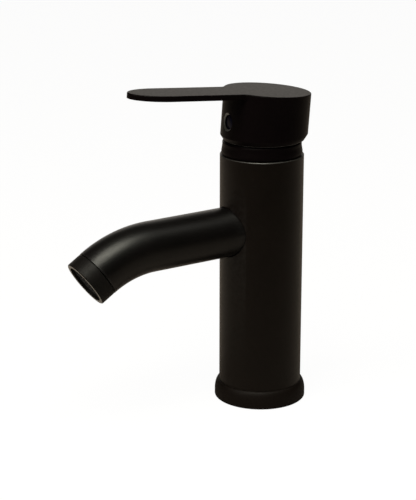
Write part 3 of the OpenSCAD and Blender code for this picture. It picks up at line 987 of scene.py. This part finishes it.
@dataclass
class Foot:
    """The base flange, its gasket and the inlet block that closes it from below."""

    hole: float = 17.5  # Radius of the clearance hole
    recess: float = 20.95  # Radius of the seat for the body
    ledge: float = 6.0  # Height of the ledge under the inlet block
    shoulder: float = 3.0  # Height where the flange's side starts to curve in
    groove: float = 3.0  # Width of the gasket and of its groove
    # The holes in the inlet block
    ports: tuple[Port, ...] = (
        Port("hot_inlet", radius=4.5, depth=11.0, pitch=1.0),
        Port("cold_inlet", radius=4.5, depth=11.0, pitch=1.0),
        Port("stud_hole", radius=3.4, depth=12.0, pitch=1.25, has_riser=False),
    )
    mouth: float = 0.6  # Chamfer of their mouths
    socket_wall: float = 1.5  # Wall of a riser, which stands on the rim of a narrower bore
    past: float = 1.0  # How far a cutter reaches past a face

    def flange(self) -> None:
        """Builds the flange with its rounded shoulder."""
        ring, gasket = Extent.of("base_ring"), Extent.of("base_gasket")
        body = Extent.of("body_shell")
        radii = ring.radius - body.radius, ring.top - self.shoulder
        curve = arc((body.radius, self.shoulder), radii, 0, math.radians(90), steps=12)
        outline = [
            Corner(self.hole, 0, ease=0.3),
            Corner(gasket.radius - self.groove, 0, ease=0.15),
            Corner(gasket.radius - self.groove, gasket.top),
            Corner(gasket.radius, gasket.top),
            Corner(gasket.radius, 0, ease=0.15),
            Corner(ring.radius, 0, ease=0.5),
            *[Corner(r, z) for r, z in curve],
            Corner(self.recess, ring.top),
            Corner(self.recess, self.ledge),
            Corner(self.hole, self.ledge, ease=0.3),
        ]
        flange = Shape.turned(outline, steps=192)
        flange.piece("base_flange", Body.FAUCET, FLANGE_PAINT, ["base_ring"])

    def gasket(self) -> None:
        """Builds the foam gasket in its groove."""
        box = Extent.of("base_gasket")
        outline = [
            Corner(box.radius - self.groove, 0, ease=0.35),
            Corner(box.radius, 0, ease=0.35),
            Corner(box.radius, box.top),
            Corner(box.radius - self.groove, box.top),
        ]
        Shape.turned(outline, steps=96).piece("deck_gasket", Body.FAUCET, RUBBER, ["base_gasket"])

    def block(self) -> None:
        """Builds the inlet block with its ports and stud hole, and then their threads."""
        box, riser = Extent.of("inlet_block"), Extent.of("hot_riser")
        outline = [Corner(box.radius, box.bottom, ease=0.3), Corner(box.radius, box.top, ease=0.3)]
        block = Shape.turned(outline, steps=128, solid=True)
        for port in self.ports:
            end = box.bottom + port.depth
            hole = [
                Corner(port.radius + self.mouth + self.past, box.bottom - self.past),
                Corner(port.radius, box.bottom + self.mouth),
                Corner(port.radius, end),
            ]
            block.combine(Combine.CUT, hole, port.place(), steps=64)
            if port.has_riser:
                bore = [
                    Corner(riser.radius - self.socket_wall, end - self.past),
                    Corner(riser.radius - self.socket_wall, riser.bottom),
                    Corner(riser.radius, riser.bottom),
                    Corner(riser.radius, box.top + self.past),
                ]
                block.combine(Combine.CUT, bore, port.place(), steps=64)
        block.piece("inlet_manifold", Body.FAUCET, BRASS, ["inlet_block"])
        for port in self.ports:
            port.thread(box.bottom)

    def build(self) -> None:
        """Builds every piece of the foot."""
        self.flange()
        self.gasket()
        self.block()


@dataclass
class Column:
    """The body tube and the cover ring that clamps it from above."""

    rim: float = 0.3  # Chamfer of the tube's upper edge
    # Least and most height of the normal of a face on that chamfer
    rim_lean: tuple[float, float] = (0.2, 0.95)
    rim_margin: float = 0.1  # How far below that chamfer its eased edge may reach
    seam: float = 0.4  # Play round the spout where it enters the tube
    beside: float = 0.6  # Distance from an edge within which its wear stays
    hole_reach: float = 60.0  # Length of the cutter for the spout's opening
    play: float = 0.1  # Play of the cover ring's spigot in the tube
    bore: float = 19.95  # Radius of the spigot's bore
    lid: float = 143.2  # Height of the bore's end, under the dome
    foot: float = 21.1  # Radius of the narrow step that stands on the tube's rim
    foot_rise: float = 0.7  # Height of that step
    # Heights above the rim where the widest band starts and ends
    band: tuple[float, float] = (0.9, 2.0)
    taper: float = 5.0  # Height above the rim where the ring stops narrowing
    neck: float = 21.2  # Radius above the taper
    shoulder: float = 144.6  # Height where the dome starts
    dome: float = 20.9  # Radius of the dome, round the pin that the handle tilts on
    dome_wall: float = 1.2  # Wall of the dome
    opening: float = 17.0  # Radius of the opening in the dome

    def tube(self, line: SpoutLine) -> None:
        """Builds the body tube with its opening for the spout.

        Args:
            line: The spout's course.
        """
        box = Extent.of("body_shell")
        bore, chamfer = box.radius - BODY_WALL, box.top - self.rim
        outline = [
            Corner(bore, box.bottom),
            Corner(box.radius, box.bottom, ease=0.12),
            Corner(box.radius, box.bottom + self.beside),
            Corner(box.radius, chamfer - self.beside),
            Corner(box.radius, chamfer, ease=0.06),
            Corner(box.radius - self.rim, box.top, ease=0.06),
            Corner(bore, box.top),
        ]
        tube = Shape.turned(outline, steps=256)
        spout = Extent.of("spout_tube").radius + self.seam
        hole = [Corner(spout, 0), Corner(spout, self.hole_reach)]
        tube.combine(Combine.CUT, hole, line.start() @ turn(90, "Y"), steps=128)
        low, high = self.rim_lean

        def on_rim(face: Face) -> bool:
            """Says whether a face is on the chamfer of the upper edge."""
            is_high = face.calc_center_median().z > chamfer - self.rim_margin
            return is_high and low < face.normal.z < high

        # The rim chamfer gets the lighter paint, a painted highlight along the rim
        tube.piece(
            "body_tube", Body.FAUCET, BODY_PAINT, ["body_shell"],
            accent=(RIM_HIGHLIGHT_PAINT, on_rim), walls=[RoundWall(Matrix(), box.radius)],
        )

    def cover(self) -> None:
        """Builds the cover ring below the handle."""
        box, rim = Extent.of("neck_cover"), Extent.of("body_shell")
        pin = LeverPose().cap().translation.z
        spigot, under = rim.radius - BODY_WALL - self.play, self.dome - self.dome_wall
        outer_start = math.asin((self.shoulder - pin) / self.dome)
        outer_end = math.acos(self.opening / self.dome)
        inner_start = math.acos(self.opening / under)
        inner_end = math.asin((self.lid - pin) / under)
        dome = [
            *arc((0, pin), (self.dome, self.dome), outer_start, outer_end, steps=10),
            *arc((0, pin), (under, under), inner_start, inner_end, steps=8),
        ]
        outline = [
            Corner(self.bore, box.bottom),
            Corner(spigot, box.bottom, ease=0.2),
            Corner(spigot, rim.top),
            Corner(self.foot, rim.top),
            Corner(self.foot, rim.top + self.foot_rise),
            Corner(box.radius, rim.top + self.band[0], ease=0.08),
            Corner(box.radius, rim.top + self.band[1], ease=0.3),
            Corner(self.neck, rim.top + self.taper, ease=0.3),
            Corner(self.neck, self.shoulder, ease=0.5),
            *[Corner(r, z) for r, z in dome],
            Corner(self.bore, self.lid),
        ]
        ring = Shape.turned(outline, steps=192)
        # The cover ring takes the handle's darker, less glossy paint, which paints in the shade under the handle's
        # overhang
        ring.piece("cover_ring", Body.FAUCET, HANDLE_PAINT, ["neck_cover"])

    def build(self, line: SpoutLine) -> None:
        """Builds the tube, with its opening on the spout's course, and the cover ring."""
        self.tube(line)
        self.cover()


@dataclass
class Spout:
    """The spout tube, the aerator's collar and what shows in its mouth."""

    line: SpoutLine
    bore: float = 11.0  # Inside radius of the tube
    seat: float = 12.0  # Radius of the aerator's thread
    inlet: float = 15.9  # How far from the body's axis the tube starts
    facets: int = 128  # Number of facets round the tube
    # Heights between which the body's bore cuts the tube
    body_span: tuple[float, float] = (60.0, 130.0)
    groove: float = 0.75  # Width of the groove behind the collar
    groove_floor: float = 12.35  # Radius of the groove's floor
    collar_radius: float = 13.3  # Radius of the collar
    mouth_radius: float = 11.0  # Radius of the collar's mouth
    mouth_chamfer: float = 0.4  # Chamfer of the collar's end
    beside: float = 0.5  # Distance from the collar's edges within which their wear stays
    thread_length: float = 4.3  # Length of the aerator's thread behind the collar
    washer: float = 1.5  # Thickness of the washer behind the thread
    neck: float = 9.5  # Radius of the opening behind the insert
    step: float = 10.2  # Distance of the step that the insert rests on, behind the mouth
    past: float = 1.0  # How far a cutter reaches past the mouth

    def tube(self) -> None:
        """Builds the tube by running a ring along its course."""
        shape = Shape()
        across = shift(self.inlet, 0, 0) @ turn(90, "Y")
        radii = Extent.of("spout_tube").radius, self.bore
        ring = shape.bridge(*[shape.circle(radius, across, self.facets) for radius in radii])
        stretches = 6
        for _ in range(stretches):
            ring = shape.push(ring, Vector(((self.line.straight - self.inlet) / stretches, 0, 0)))
        edges = {edge for face in ring for edge in face.edges}
        bmesh.ops.spin(
            shape.mesh, geom=[*ring, *edges], cent=(self.line.straight, 0, -self.line.bend_radius),
            axis=(0, 1, 0), angle=math.radians(self.line.bend), steps=36,
        )
        shape.settle()
        shape.place(self.line.start())
        body_bore = Extent.of("body_shell").radius - BODY_WALL
        inside = [Corner(body_bore, height) for height in self.body_span]
        shape.combine(Combine.CUT, inside, Matrix(), steps=192)
        deep = -(self.line.collar + self.thread_length + self.washer)
        seat = [Corner(self.seat, deep), Corner(self.seat, self.past)]
        shape.combine(Combine.CUT, seat, self.line.mouth(), self.facets)
        shape.piece("spout_pipe", Body.FAUCET, SPOUT_PAINT, ["spout_tube"])

    def collar(self) -> None:
        """Builds the aerator's housing, with its collar and groove."""
        back, radius, chamfer = -self.line.collar, self.collar_radius, self.mouth_chamfer
        front, end = back + self.groove, back - self.thread_length
        outline = [
            Corner(self.mouth_radius, 0, ease=0.25),
            Corner(radius - chamfer, 0, ease=0.08),
            Corner(radius, -chamfer, ease=0.08),
            Corner(radius, -chamfer - self.beside),
            Corner(radius, front + self.beside),
            Corner(radius, front, ease=0.1),
            Corner(self.groove_floor, front),
            Corner(self.groove_floor, back),
            Corner(self.seat, back),
            Corner(self.seat, end, ease=0.3),
            Corner(self.neck, end, ease=0.2),
            Corner(self.neck, -self.step),
            Corner(self.mouth_radius, -self.step),
        ]
        mouth = self.line.mouth()

        def on_end(face: Face) -> bool:
            """Says whether a face is on the collar's flat end."""
            return near((mouth.inverted() @ face.calc_center_median()).z, 0, CUT_PLAY)

        # The collar's flat end gets the lighter, glossier paint
        Shape.turned(outline, steps=192).place(mouth).piece(
            "aerator_collar", Body.FAUCET, COLLAR_PAINT, ["aerator_housing"],
            accent=(PALE_COLLAR_END, on_end),
        )

    def insert(self) -> None:
        """Copies the aerator's insert from its CAD solid."""
        insert = Shape.of_node("aerator_insert")
        insert.piece("aerator_grid", Body.FAUCET, AERATOR_PLASTIC, ["aerator_insert"], crisp=40.0)

    def build(self) -> None:
        """Builds every piece of the spout."""
        self.tube()
        self.collar()
        self.insert()


@dataclass
class Handle:
    """The handle, cast in one piece from a cap and a flat lever."""

    pose: LeverPose = field(default_factory=LeverPose)  # How it stands on its pin
    back: float = 0.48  # Distance of the cap's axis behind the pin
    top: float = 32.75  # Distance of the top face from the pin
    radius: float = 23.3  # Radius of the cap
    reach: float = 82.3  # Distance from the cap's axis to the lever's tip
    tip: float = 19.3  # Length of the lever's rounded tip
    half: float = 12.1  # Half the lever's width
    thickness: float = 2.9  # The lever's thickness
    fillet: float = 4.5  # Radius of the fillets between lever and cap
    # Radius of the cap's hollow, and its end's distance from the pin
    bore: float = 21.45
    roof: float = 29.2
    bore_steps: int = 160  # Number of facets round the hollow
    # Radius of the boss round the stem, and its foot's distance from the pin
    boss: float = 7.2
    boss_foot: float = 12.3
    # Half the width of the stem's hole, and its end's distance from the pin
    stem: float = 4.0
    stem_top: float = 27.0
    # Radius of the lower edge, and how far its centre lies behind the pin
    edge: float = 21.65
    edge_shift: float = 1.0
    # Height of the lower edge's chamfer, and its lean in degrees
    chamfer_top: float = 2.8
    chamfer_lean: float = 0.82
    # Roundings of the top, the lever's underside and the lip
    top_ease: float = 0.55
    under_ease: float = 0.3
    lip_ease: float = 0.15
    # Distances from the cap and from the fillets' ends within which the lever's underside stays
    # sharp
    clear: float = 0.3
    cusp_room: float = 4.0
    # Radius of the pad behind the index plug, its distance from the pin, and how far it ends below
    # the cap's face
    pad: float = 5.2
    pad_start: float = 19.0
    pad_depth: float = 1.2
    # Radii of the holes for the index plug and for the screw
    plug_hole: float = 3.9
    screw_hole: float = 2.5
    screw_start: float = 0.2  # How far from the stem's hole the screw's hole starts
    plug_seat: float = 1.0  # Depth of the plug's hole in the pad
    sink: float = 1.0  # Depth of the countersink, outside and inside the cap's face
    past: float = 4.0  # How far the cutter reaches past that face
    # Radius and length of the plug, and how far its face lies below the cap's
    plug_radius: float = 3.88
    plug_length: float = 2.6
    plug_sunk: float = 1.1
    plug_drop: float = 0.5  # Drop of the plug's edge from the middle of its face
    # Where its face starts to bend down, as a share of the radius, and how far it has dropped there
    plug_bend: float = 0.55
    plug_bow: float = 0.08

    @property
    def under(self) -> float:
        """Distance of the lever's underside from the pin."""
        return self.top - self.thickness

    @property
    def face(self) -> float:
        """Distance of the cap's face from the pin, at the index plug."""
        return self.radius - self.back

    def outline(self) -> tuple[list[Point], int]:
        """Works out the outline from above, with the cap's axis at the origin.

        Returns:
            Its points, from one fillet's end on the cap, and the place of the other's among them.
        """
        across = self.half + self.fillet
        along = math.sqrt((self.radius + self.fillet) ** 2 - across**2)
        touch, left_way = math.atan2(along, across), math.pi
        tip_start = (0, self.tip - self.reach)
        round_cap, round_fillet = (self.radius, self.radius), (self.fillet, self.fillet)
        cap = arc((0, 0), round_cap, -touch, left_way + touch, steps=160)
        left = arc((-across, -along), round_fillet, touch, 0, steps=12)
        nose = arc(tip_start, (self.half, self.tip), left_way, 2 * math.pi, steps=72)
        right = arc((across, -along), round_fillet, left_way, left_way - touch, steps=12)
        return cap + left[1:] + nose + right[:-1], len(cap) - 1

    def blank(self) -> Shape:
        """Builds the lever and the cap's wall, down past its lower edge.

        Returns:
            The blank, in the cap's frame.
        """
        shape = Shape()
        points, last = self.outline()
        verts = [shape.mesh.verts.new((x, y + self.back, self.under)) for x, y in points]
        plate = shape.mesh.faces.new(verts)
        ends = [math.atan2(y, x) for x, y in (points[0], points[last])]
        front = arc((0, self.back), (self.radius, self.radius), *ends, steps=48)[1:-1]
        coords = [Vector((x, y, self.under)) for x, y in front]
        bmesh.utils.face_split(plate, verts[0], verts[last], coords=coords)
        tops = shape.push(list(shape.mesh.faces), Vector((0, 0, self.thickness)))
        inner = [e for e in shape.mesh.edges if all(f in tops for f in e.link_faces)]
        bmesh.ops.dissolve_edges(shape.mesh, edges=inner, use_verts=True)
        disc = min(
            (f for f in shape.mesh.faces if near(f.calc_center_median().z, self.under)),
            key=lambda f: abs(f.calc_center_median().y - self.back),
        )
        shape.push([disc], Vector((0, 0, -self.under)))
        shape.settle()
        return shape

    def eased(self) -> Shape:
        """Builds the blank with its edges rounded.

        Returns:
            The blank, in the cap's frame.
        """
        shape = self.blank()
        points, last = self.outline()
        cusps = [Vector((x, y + self.back, self.under)) for x, y in (points[0], points[last])]

        def top_edge(edge: Edge) -> bool:
            """Says whether an edge is on the rim of the top face."""
            return all(near(v.co.z, self.top) for v in edge.verts) and len(edge.link_faces) == 2

        def is_clear(point: Vector) -> bool:
            """Says whether a point is clear of the cap and of the cusps."""
            off_cap = math.hypot(point.x, point.y - self.back) > self.radius + self.clear
            return off_cap and min((point - cusp).length for cusp in cusps) > self.cusp_room

        def under_edge(edge: Edge) -> bool:
            """Says whether an edge is on the lever's underside and its middle is clear."""
            ends = [v.co for v in edge.verts]
            return all(near(p.z, self.under) for p in ends) and is_clear((ends[0] + ends[1]) / 2)

        shape.ease(top_edge, self.top_ease, segments=5)
        shape.ease(under_edge, self.under_ease)
        return shape

    def hollowed(self) -> Shape:
        """Builds the handle, open below, with its chamfered edge, bore and boss.

        Returns:
            The handle, in the mixer's frame.
        """
        shape = self.eased()
        cap = self.pose.cap()
        shape.place(cap)
        low = Extent.of("handle").bottom
        mesh = shape.mesh
        bmesh.ops.bisect_plane(
            mesh, geom=[*mesh.verts, *mesh.edges, *mesh.faces], clear_inner=True,
            plane_co=(0, self.edge_shift, low + self.chamfer_top),
            plane_no=turn(self.chamfer_lean, "X") @ Vector((0, 0, 1)),
        )
        loop: Iterable[Edge] = [e for e in mesh.edges if e.is_boundary]
        lip, foot = shift(0, self.edge_shift, low), cap @ shift(0, 0, self.boss_foot)
        for radius, at, steps in (
            (self.edge, lip, self.bore_steps),
            (self.bore, lip, self.bore_steps),
            (self.bore, cap @ shift(0, self.back, self.roof), self.bore_steps),
            (self.boss, cap @ shift(0, 0, self.roof), self.bore_steps),
            (self.boss, foot, self.bore_steps),
            (self.stem * math.sqrt(2), foot @ turn(45, "Z"), 4),
        ):
            following = shape.circle(radius, at, steps)
            shape.bridge(loop, following)
            loop = following
        made = bmesh.ops.extrude_edge_only(mesh, edges=list(loop))["geom"]
        shape.shift_made(made, cap.to_3x3() @ Vector((0, 0, self.stem_top - self.boss_foot)))
        bmesh.ops.contextual_create(mesh, geom=[e for e in made if isinstance(e, Edge)])
        shape.settle()

        def on_lip(edge: Edge) -> bool:
            """Says whether an edge is on the outer ring of the lower edge."""
            ends = [v.co - Vector((0, self.edge_shift, low)) for v in edge.verts]
            return all(near(p.xy.length, self.edge, WALL_PLAY) and near(p.z, 0) for p in ends)

        shape.ease(on_lip, self.lip_ease, segments=2)
        return shape

    def shell(self) -> None:
        """Builds the handle with the hole for its index plug."""
        shape = self.hollowed()
        index, face_out = self.pose.index(), self.face
        pad = [Corner(self.pad, self.pad_start), Corner(self.pad, face_out - self.pad_depth)]
        shape.combine(Combine.JOIN, pad, index, steps=64)
        floor, rim = self.pad_start - self.plug_seat, self.plug_hole + 2 * self.sink
        hole = [
            Corner(self.screw_hole, self.stem + self.screw_start),
            Corner(self.screw_hole, floor),
            Corner(self.plug_hole, floor),
            Corner(self.plug_hole, face_out - self.sink),
            Corner(rim, face_out + self.sink),
            Corner(rim, face_out + self.past),
        ]
        shape.combine(Combine.CUT, hole, index, steps=96)
        lip, flat_down = Extent.of("handle").bottom + self.lip_ease, -0.98

        def on_cone(vert: Vert) -> bool:
            """Says whether a point is on the cone round the index plug."""
            x, y, z = index.inverted() @ vert.co
            return near(math.hypot(x, y) - self.plug_hole, z - (face_out - self.sink), CUT_PLAY)

        def on_lip(face: Face) -> bool:
            """Says whether a face is on the lower lip, outside the bore.

            Args:
                face: The face.

            Returns:
                True if it is.
            """
            x, y, z = face.calc_center_median()
            outside = math.hypot(x, y - self.edge_shift) > self.bore
            return z < lip and outside and face.normal.z > flat_down

        # The countersink and the lower lip get the lighter paint, a painted highlight
        shape.piece(
            "lever_handle", Body.HANDLE, HANDLE_PAINT, ["handle"],
            accent=(GLINT_EDGE_PAINT, lambda face: all(map(on_cone, face.verts)) or on_lip(face)),
            walls=[RoundWall(self.pose.cap() @ shift(0, self.back, 0), self.radius)],
        )

    def plug(self) -> None:
        """Builds the index plug, slightly domed."""
        front = self.face - self.plug_sunk
        back = front - self.plug_length
        outline = [
            Corner(self.plug_radius, back, ease=0.1),
            Corner(self.plug_radius, front - self.plug_drop, ease=0.3),
            Corner(self.plug_radius * self.plug_bend, front - self.plug_bow),
            Corner(0, front),
        ]
        plug = Shape.turned(outline, steps=64, solid=True).place(self.pose.index())
        plug.piece("index_button", Body.HANDLE, INDEX_BLUE, ["index_plug"])

    def build(self) -> None:
        """Builds the handle's pieces."""
        self.shell()
        self.plug()


@dataclass
class InnerWorks:
    """The pieces inside, which keep their CAD shape and get their finishes."""

    nodes: dict[Finish, tuple[str, ...]] = field(
        default_factory=lambda: {
            COPPER: ("hot_riser", "cold_riser"),
            BRASS: ("cartridge_seat", "cartridge_nut", "lever_stem"),
            RUBBER: ("lower_seat_seal", "upper_seat_seal", "aerator_washer"),
            STEEL: ("aerator_screen", "pivot_pin", "handle_screw"),
            SILICONE: ("hot_port_seal", "cold_port_seal", "outlet_port_seal", "disc_seal"),
            WHITE_PLASTIC: ("cartridge_base", "cartridge_housing", "rotor"),
            CERAMIC: ("fixed_disc", "moving_disc"),
            GREY_PLASTIC: ("glide_ring", "disc_carrier"),
        }
    )

    def build(self) -> None:
        """Gives each inner node its finish."""
        for finish, names in self.nodes.items():
            for name in names:
                thing = frame["nodes"][name]
                thing.data.materials.clear()
                thing.data.materials.append(finish.material())
                LOG.info("%s: %s", name, finish.name)


@dataclass(frozen=True)
class Softbox:
    """A round area lamp aimed at the mixer."""

    name: str
    towards: tuple[float, float, float]  # Direction from the mixer to the lamp
    distance: float  # Distance from the mixer, in metres
    size: float  # Diameter of the lamp, in metres
    power: float  # Power in watts
    colour: Colour  # Light colour

    def build(self, aim: Vector) -> None:
        """Hangs the lamp.

        Args:
            aim: The point that it faces.
        """
        data = bpy.data.lights.new(self.name, "AREA")
        data.shape = "DISK"
        data.size = self.size
        data.energy = self.power
        data.color = self.colour
        direction = Vector(self.towards).normalized()
        lamp = stand(self.name, data)
        lamp.location = aim + direction * self.distance
        lamp.rotation_euler = direction.to_track_quat("Z", "Y").to_euler()


@dataclass(frozen=True)
class StudioCamera:
    """The camera, at the viewing angle of a product shot."""

    azimuth: float = 60.48  # Degrees round the mixer; 0 looks along +Y and 90 along -X
    elevation: float = 17.17  # Degrees above the horizon
    distance: float = 0.8947  # Distance from the aimed point, in metres
    side: float = -0.02878  # How far the aimed point lies to the right of the base, in metres
    rise: float = 0.07965  # How far it lies above the base in the view, in metres
    lens: float = 115.16  # Focal length, in millimetres
    sensor: float = 36.0  # Width of the sensor, in millimetres

    def outward(self) -> Vector:
        """Returns the direction from the aimed point to the camera."""
        a, e = math.radians(self.azimuth), math.radians(self.elevation)
        return Vector((math.sin(a) * math.cos(e), -math.cos(a) * math.cos(e), math.sin(e)))

    def build(self) -> None:
        """Makes the camera the scene's own."""
        back = self.outward()
        right = Vector((0, 0, 1)).cross(back).normalized()
        up = back.cross(right)
        data = bpy.data.cameras.new("camera")
        data.lens = self.lens
        data.sensor_width = self.sensor
        camera = stand("camera", data)
        camera.location = right * self.side + up * self.rise + back * self.distance
        camera.rotation_euler = back.to_track_quat("Z", "Y").to_euler()
        bpy.context.scene.camera = camera


@dataclass
class Studio:
    """A plain white floor and background, softboxes and the camera."""

    floor_side: float = 8.0  # Side of the floor, in metres
    floor_drop: float = 0.0002  # How far it lies below the mixer, in metres
    floor_tone: float = 0.7  # Tone of the floor as a matt surface
    floor_near: float = 0.037  # Tone of the floor on the camera's side, as gloss mirrors it
    floor_far: float = 0.6  # Tone of the floor on the far side, as gloss mirrors it
    floor_reach: float = 0.6  # Distance each way over which the mirrored tone changes, in metres
    floor_tint: Colour = (1.0, 0.88, 0.78)  # Tint of the floor, as gloss mirrors it
    floor_glow: float = 0.93  # Share of the floor's look that is plain white, the rest being lit
    floor_white: float = 1.02  # Strength of that white
    ambient: float = 0.3  # Brightness of the surroundings as a light
    mirrored_low: float = 0.03  # Brightness of the dim room that gloss mirrors
    mirrored_high: float = 1.0  # Brightness of the pale backdrop that gloss mirrors
    backdrop_edge: float = 0.85  # How far round the pale backdrop goes, as a cosine
    # Direction to the middle of the pale backdrop
    backdrop_way: tuple[float, float, float] = (-0.88, 0.47, 0.1)
    tint: Colour = (1.0, 0.93, 0.84)  # Tint of the surroundings as a light
    camera: StudioCamera = StudioCamera()
    lamps: tuple[Softbox, ...] = (
        Softbox("key", (0.33, -0.26, 0.91), 1.1, size=0.7, power=12.5, colour=(1.0, 0.98, 0.84)),
        Softbox("side", (0.064, -0.797, 0.601), 1.2, size=0.35, power=5.0, colour=(1.0, 0.9, 0.8)),
        Softbox("back", (0.20, 0.30, 0.93), 1.1, size=0.7, power=0.9, colour=(1.0, 0.98, 0.9)),
    )

    def world(self) -> None:
        """Sets a background that shows white and lights softly."""
        world = bpy.data.worlds.new("studio")
        bpy.context.scene.world = world
        wiring = Wiring.of(world)
        glossy = wiring.add("ShaderNodeLightPath").outputs["Is Glossy Ray"]
        direction = wiring.add("ShaderNodeTexCoord").outputs["Generated"]
        facing = wiring.along(direction, Vector(self.backdrop_way).normalized())
        span = (self.backdrop_edge, 1.0, self.mirrored_low, self.mirrored_high)
        extra = wiring.maths("SUBTRACT", wiring.spread(facing, span), self.ambient)
        strength = wiring.maths("ADD", wiring.maths("MULTIPLY", extra, glossy), self.ambient)
        lit, shown = [
            wiring.add("ShaderNodeBackground", inputs).outputs["Background"]
            for inputs in (
                {"Color": opaque(self.tint), "Strength": strength},
                {"Color": opaque((1.0, 1.0, 1.0))},
            )
        ]
        wiring.end("ShaderNodeOutputWorld", lit, shown)

    def floor_material(self) -> bpy.types.Material:
        """Makes the floor's material, white to the camera and toned in what gloss mirrors.

        Returns:
            The material.
        """
        material = bpy.data.materials.new("studio_floor")
        wiring = Wiring.of(material)
        glossy = wiring.add("ShaderNodeLightPath").outputs["Is Glossy Ray"]
        place = wiring.add("ShaderNodeTexCoord").outputs["Object"]
        span = (self.floor_reach, -self.floor_reach, self.floor_near, self.floor_far)
        inputs = {
            0: self.floor_tint,
            "Scale": wiring.spread(wiring.along(place, self.camera.outward()), span),
        }
        mirrored = wiring.add("ShaderNodeVectorMath", inputs, operation="SCALE").outputs["Vector"]
        tone = wiring.blend(glossy, opaque((self.floor_tone,) * 3), mirrored)
        matt = wiring.add("ShaderNodeBsdfDiffuse", {"Color": tone}).outputs["BSDF"]
        white = wiring.add("ShaderNodeEmission", {"Strength": self.floor_white}).outputs["Emission"]
        wiring.end("ShaderNodeOutputMaterial", matt, white, self.floor_glow)
        return material

    def floor(self) -> None:
        """Lays the pale floor."""
        mesh = bmesh.new()
        bmesh.ops.create_grid(mesh, x_segments=1, y_segments=1, size=self.floor_side / 2)
        data = bpy.data.meshes.new("studio_floor")
        mesh.to_mesh(data)
        mesh.free()
        data.materials.append(self.floor_material())
        floor = stand("studio_floor", data)
        floor.location.z = CAD_BOX[0].z - self.floor_drop

    def build(self) -> None:
        """Builds the studio."""
        self.world()
        self.floor()
        aim = (CAD_BOX[0] + CAD_BOX[1]) / 2
        for lamp in self.lamps:
            lamp.build(aim)
        self.camera.build()
        bpy.context.scene.view_settings.view_transform = "Standard"


def main() -> None:
    """Builds the mixer and its studio."""
    logging.basicConfig(level=logging.INFO, format="%(name)s: %(message)s")
    line = SpoutLine()
    Studio().build()
    Foot().build()
    Column().build(line)
    Spout(line).build()
    Handle().build()
    InnerWorks().build()


if __name__ == "__main__":
    main()
